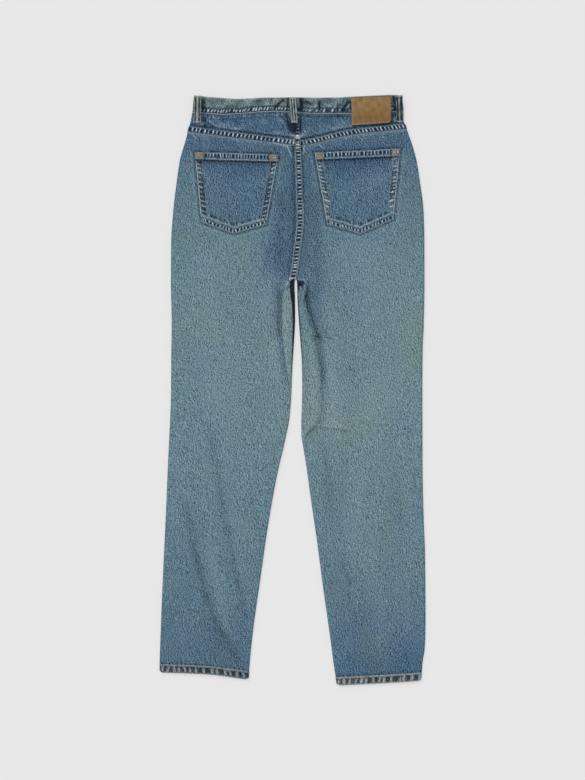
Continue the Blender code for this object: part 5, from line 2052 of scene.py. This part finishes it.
@dataclass
class FrontDetails:
    """What lies on or in the hidden front: pocket facings, coin pocket, fly shield, button and rivets."""

    facing_short: float = 2.0
    inner_cloth: float = 1.0
    reach: float = 14.0
    open_run: float = 9.0
    button_radius: float = 8.5
    rivet_radius: float = 4.5
    shield_width: float = 38.0
    shield_length: float = 150.0
    fly_width: float = 36.0
    fly_length: float = 132.0

    def facing(self, leg: Leg) -> Piece:
        """Make the cloth seen in one front pocket's mouth, set back behind the front piece."""
        sections, runs = [], []
        for v in np.linspace(0, 1, 40):
            edge_x, _ = scoop_edge(leg, 1 - v)
            depth = (SCOOP_DEPTH - self.facing_short) * math.sin(v * math.pi / 2)

            def line(x: Array, depth: float = depth, v: float = v) -> Array:
                """y of this row at x."""
                past = np.abs(x - leg.side(450)) - self.open_run
                return front_waist_seam(x) - SEAM_GAP / 2 - depth - self.reach * v * ease(past / self.reach)

            section = Section(leg, line)
            end = section.run_at(edge_x) + self.reach
            start = np.linspace(SEAM_GAP / 2, self.open_run, 8)
            runs.append(np.concatenate([start, np.linspace(self.open_run, end, 40)[1:]]))
            sections.append(section)
        inset = INSET * ease(np.array(runs) / self.open_run)
        outside = lay(sections, runs, -inset, False)
        inside = lay(sections, runs, -inset - self.inner_cloth, False)
        name = f"pocket_facing_{leg.name}"
        wear_and_shading = wear_and_shading_of(np.full(outside.shape[:2], 0.02), -0.1, 0.0, 0.4)
        obj = shell(f"{name}_cloth", outside, inside, wear_and_shading, Finish.POCKET, leg.inward > 0)
        CUTTING.add_rows(obj, [float(r[-1]) for r in runs], outside[..., 1])
        return dress(obj, "dark_denim", name)

    def coin_pocket(self, leg: Leg, stitching: Stitching) -> Piece:
        """Make the small pocket in the right front pocket's mouth."""
        drop, from_side, margin = 24.0, 14.0, 2.2
        points = []
        for v in np.linspace(0, 1, 40):
            edge_x, edge_y = scoop_edge(leg, mix(0.78, 0.2, v), margin)
            side_x = float(leg.side(edge_y)) + leg.inward * from_side
            x = np.linspace(side_x, edge_x, 30)
            y = np.minimum(edge_y, front_waist_seam(x) - drop)
            points.append(stacked(x, y, UNDER(y) + 0.2))
        outside = np.array(points)
        inside = outside + (0.0, 0.0, self.inner_cloth)
        wear_and_shading = wear_and_shading_of(np.full(outside.shape[:2], 0.05), 0.0, 0.0, 0.4)
        obj = shell("coin_pocket_cloth", outside, inside, wear_and_shading, Finish.POCKET)
        CUTTING.add_rows(obj, list(np.abs(outside[:, -1, 0] - outside[:, 0, 0])), outside[..., 1])
        for row in (1, 6):
            stitching.row(outside[row][3:-1], -1.0, THREAD_UNDER)
        return dress(obj, "dark_denim", "coin_pocket")

    def fly(self, stitching: Stitching) -> Piece:
        """Make the strip behind the closed fly, and the curved stitching of the flap over it."""
        v, u = np.meshgrid(np.linspace(0, 1, 50), np.linspace(0, 1, 14), indexing="ij")
        x = WAIST_MIDDLE + self.shield_width * (u - 0.4) * (1 - 0.25 * v**2)
        y = front_waist_seam(x) - SEAM_GAP - self.shield_length * v
        outside = stacked(x, y, UNDER(y) + INSET)
        inside = outside + (0.0, 0.0, self.inner_cloth)
        wear_and_shading = wear_and_shading_of(np.full(x.shape, 0.05), 0.0, 0.0)
        obj = shell("fly_shield_cloth", outside, inside, wear_and_shading, Finish.POCKET, True)
        CUTTING.add_rows(obj, list(x[:, -1] - x[:, 0]), y)
        t = np.linspace(0, 1, 60)
        bend = np.clip((t - 0.6) / 0.4, 0, 1) * math.pi / 2
        for inset in (0.0, 6.0):
            width, length = self.fly_width - inset, self.fly_length - inset
            x = centre_seam(460) - width * np.cos(bend)
            y = front_waist_seam(x) - 1.0 - length * (np.minimum(t / 0.6, 1.0) * 0.72 + 0.28 * np.sin(bend))
            stitching.row(stacked(x, y, UNDER(y)), -1.0, THREAD_IN_FRONT)
        return dress(obj, "dark_denim", "fly_shield")

    def mouth_stitches(self, leg: Leg, stitching: Stitching) -> None:
        """Add two rows of stitches along one front pocket's mouth."""
        for margin in (-2.2, -8.5):
            path = [scoop_edge(leg, turn, margin) for turn in np.linspace(0.97, 0.06, 50)]
            stitching.row(np.array([(x, y, float(UNDER(y))) for x, y in path]), -1.0, THREAD_IN_FRONT)

    def metal(self) -> list[Piece]:
        """Make the tack button and the four rivets."""
        x = WAIST_MIDDLE + 4.0
        y = float(front_waist_seam(x) + front_waist_top(x)) / 2
        rim, top = self.button_radius, BAND_UNDER - SEAM_GAP
        profile = [(0, top), (rim - 2.5, top), (rim - 0.3, 2.35), (rim, 2), (rim, 1.4), (rim - 0.3, 0.9)]
        profile += [(rim - 1, 0.5), (rim - 1.9, 0.55), (rim - 2.6, 0.9), (2.8, 0.9), (2.2, 0.6), (0, 0.55)]
        made = [turned("waist_button_metal", profile, (x, y, 0.0))]
        for leg in (LEFT, RIGHT):
            for end, turn, along, drop in (("waist", 1.0, 6.0, 6.5), ("side", 0.12, 3.0, 6.0)):
                x, y = scoop_edge(leg, turn)
                y -= drop
                head, r = float(UNDER(y)) - SEAM_GAP, self.rivet_radius
                profile = [(0, head), (r - 0.4, head), (r, head - 0.3), (r - 0.3, head - 0.7)]
                profile += [(r - 0.9, head - 0.9), (2.1, head - 0.75), (1.6, head - 1), (0, head - 1.05)]
                place = (x + leg.inward * along, y, 0.0)
                made.append(turned(f"rivet_{end}_{leg.name}_metal", profile, place))
        return made

    def build(self, stitching: Stitching) -> list[Piece]:
        """Make all of it, with its stitches."""
        made = [self.facing(LEFT), self.facing(RIGHT)]
        made += [self.coin_pocket(RIGHT, stitching), self.fly(stitching)]
        for leg in (LEFT, RIGHT):
            self.mouth_stitches(leg, stitching)
        return made + self.metal()


def make_stage() -> None:
    """Make the floor."""
    size, under = 4000.0, -0.4
    corners = np.array([(a * size, b * size, under) for a, b in ((-1, -1), (1, -1), (1, 1), (-1, 1))])
    mesh = bpy.data.meshes.new("floor")
    mesh.from_pydata((corners * MM).tolist(), [], [(0, 1, 2, 3)])
    mesh.materials.append(Finish.PAPER.material())
    obj = bpy.data.objects.new("floor", mesh)
    bpy.context.scene.collection.objects.link(obj)


@dataclass
class Studio:
    """The camera above the garment and the soft light on it."""

    frame_height: float = 780 * 1.85
    distance: float = 5000.0
    sky: float = 0.62
    sun_share: float = 0.38
    sun_tilt: float = 42.0
    sun_turn: float = 125.0
    sun_softness: float = 35.0

    def build(self) -> None:
        """Make the camera and the lights, which together light a level surface by 1."""
        scene = bpy.context.scene
        data = bpy.data.cameras.new("camera")
        data.sensor_width = 36.0
        data.lens = 36.0 * self.distance / self.frame_height
        data.clip_end = 50.0
        camera = bpy.data.objects.new("camera", data)
        camera.location = (0.0009, 0.0, self.distance * MM)
        scene.collection.objects.link(camera)
        scene.camera = camera
        world = bpy.data.worlds.new("studio")
        world.use_nodes = True
        background = world.node_tree.nodes["Background"]
        background.inputs[0].default_value = (1.0, 1.0, 1.0, 1.0)
        background.inputs[1].default_value = self.sky
        scene.world = world
        sun = bpy.data.lights.new("key", "SUN")
        tilt = math.radians(self.sun_tilt)
        sun.energy = self.sun_share * math.pi / math.cos(tilt)
        sun.angle = math.radians(self.sun_softness)
        key = bpy.data.objects.new("key", sun)
        key.rotation_euler = (0.0, -tilt, math.radians(self.sun_turn) - math.pi)
        scene.collection.objects.link(key)
        scene.view_settings.view_transform = "Standard"
        scene.view_settings.look = "None"


def main() -> None:
    """Build the garment's pieces in order and report each."""
    logging.basicConfig(level=logging.INFO, format="%(message)s")
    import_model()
    Studio().build()
    make_stage()
    pieces: list[Piece] = []
    rows = [Stitching(f"{where}_stitches") for where in ("seat", "hem", "pocket", "waist", "front")]
    seat, rims, pockets, waist, front = rows
    bars = Stitching("bar_tacks_pale", Finish.PALE_TACK, width=0.95, height=0.6)
    brown_bars = Stitching("bar_tacks_brown", Finish.TACK, width=0.95, height=0.6)
    for leg in (LEFT, RIGHT):
        maker = LegPiece(leg)
        pieces += [maker.build_back(), maker.build_front(), maker.build_yoke()]
        pieces += [YokeSeam(leg).build(seat), Hem(leg, worn=HEM_WORN[leg.name]).build(rims)]
    pieces.append(SeatSeam().build(seat))
    pieces.append(BackPocket(LEFT, POCKET_LEFT, 401).build(pockets, (bars, brown_bars)))
    pieces.append(BackPocket(RIGHT, POCKET_RIGHT, 451, mouth_pitch=6.6).build(pockets, (bars, brown_bars)))
    pieces.append(Waistband().build(waist))
    pieces += [loop.build(waist) for loop in LOOPS]
    pieces.append(WaistPatch().build(waist))
    pieces += FrontDetails().build(front)
    pieces += [stitching.build() for stitching in (*rows, bars, brown_bars)]
    for piece in pieces:
        LOG.info("%s: %d points", piece.name, len(piece.data.vertices))
    CUTTING.declare(resting_places())


if __name__ == "__main__":
    main()
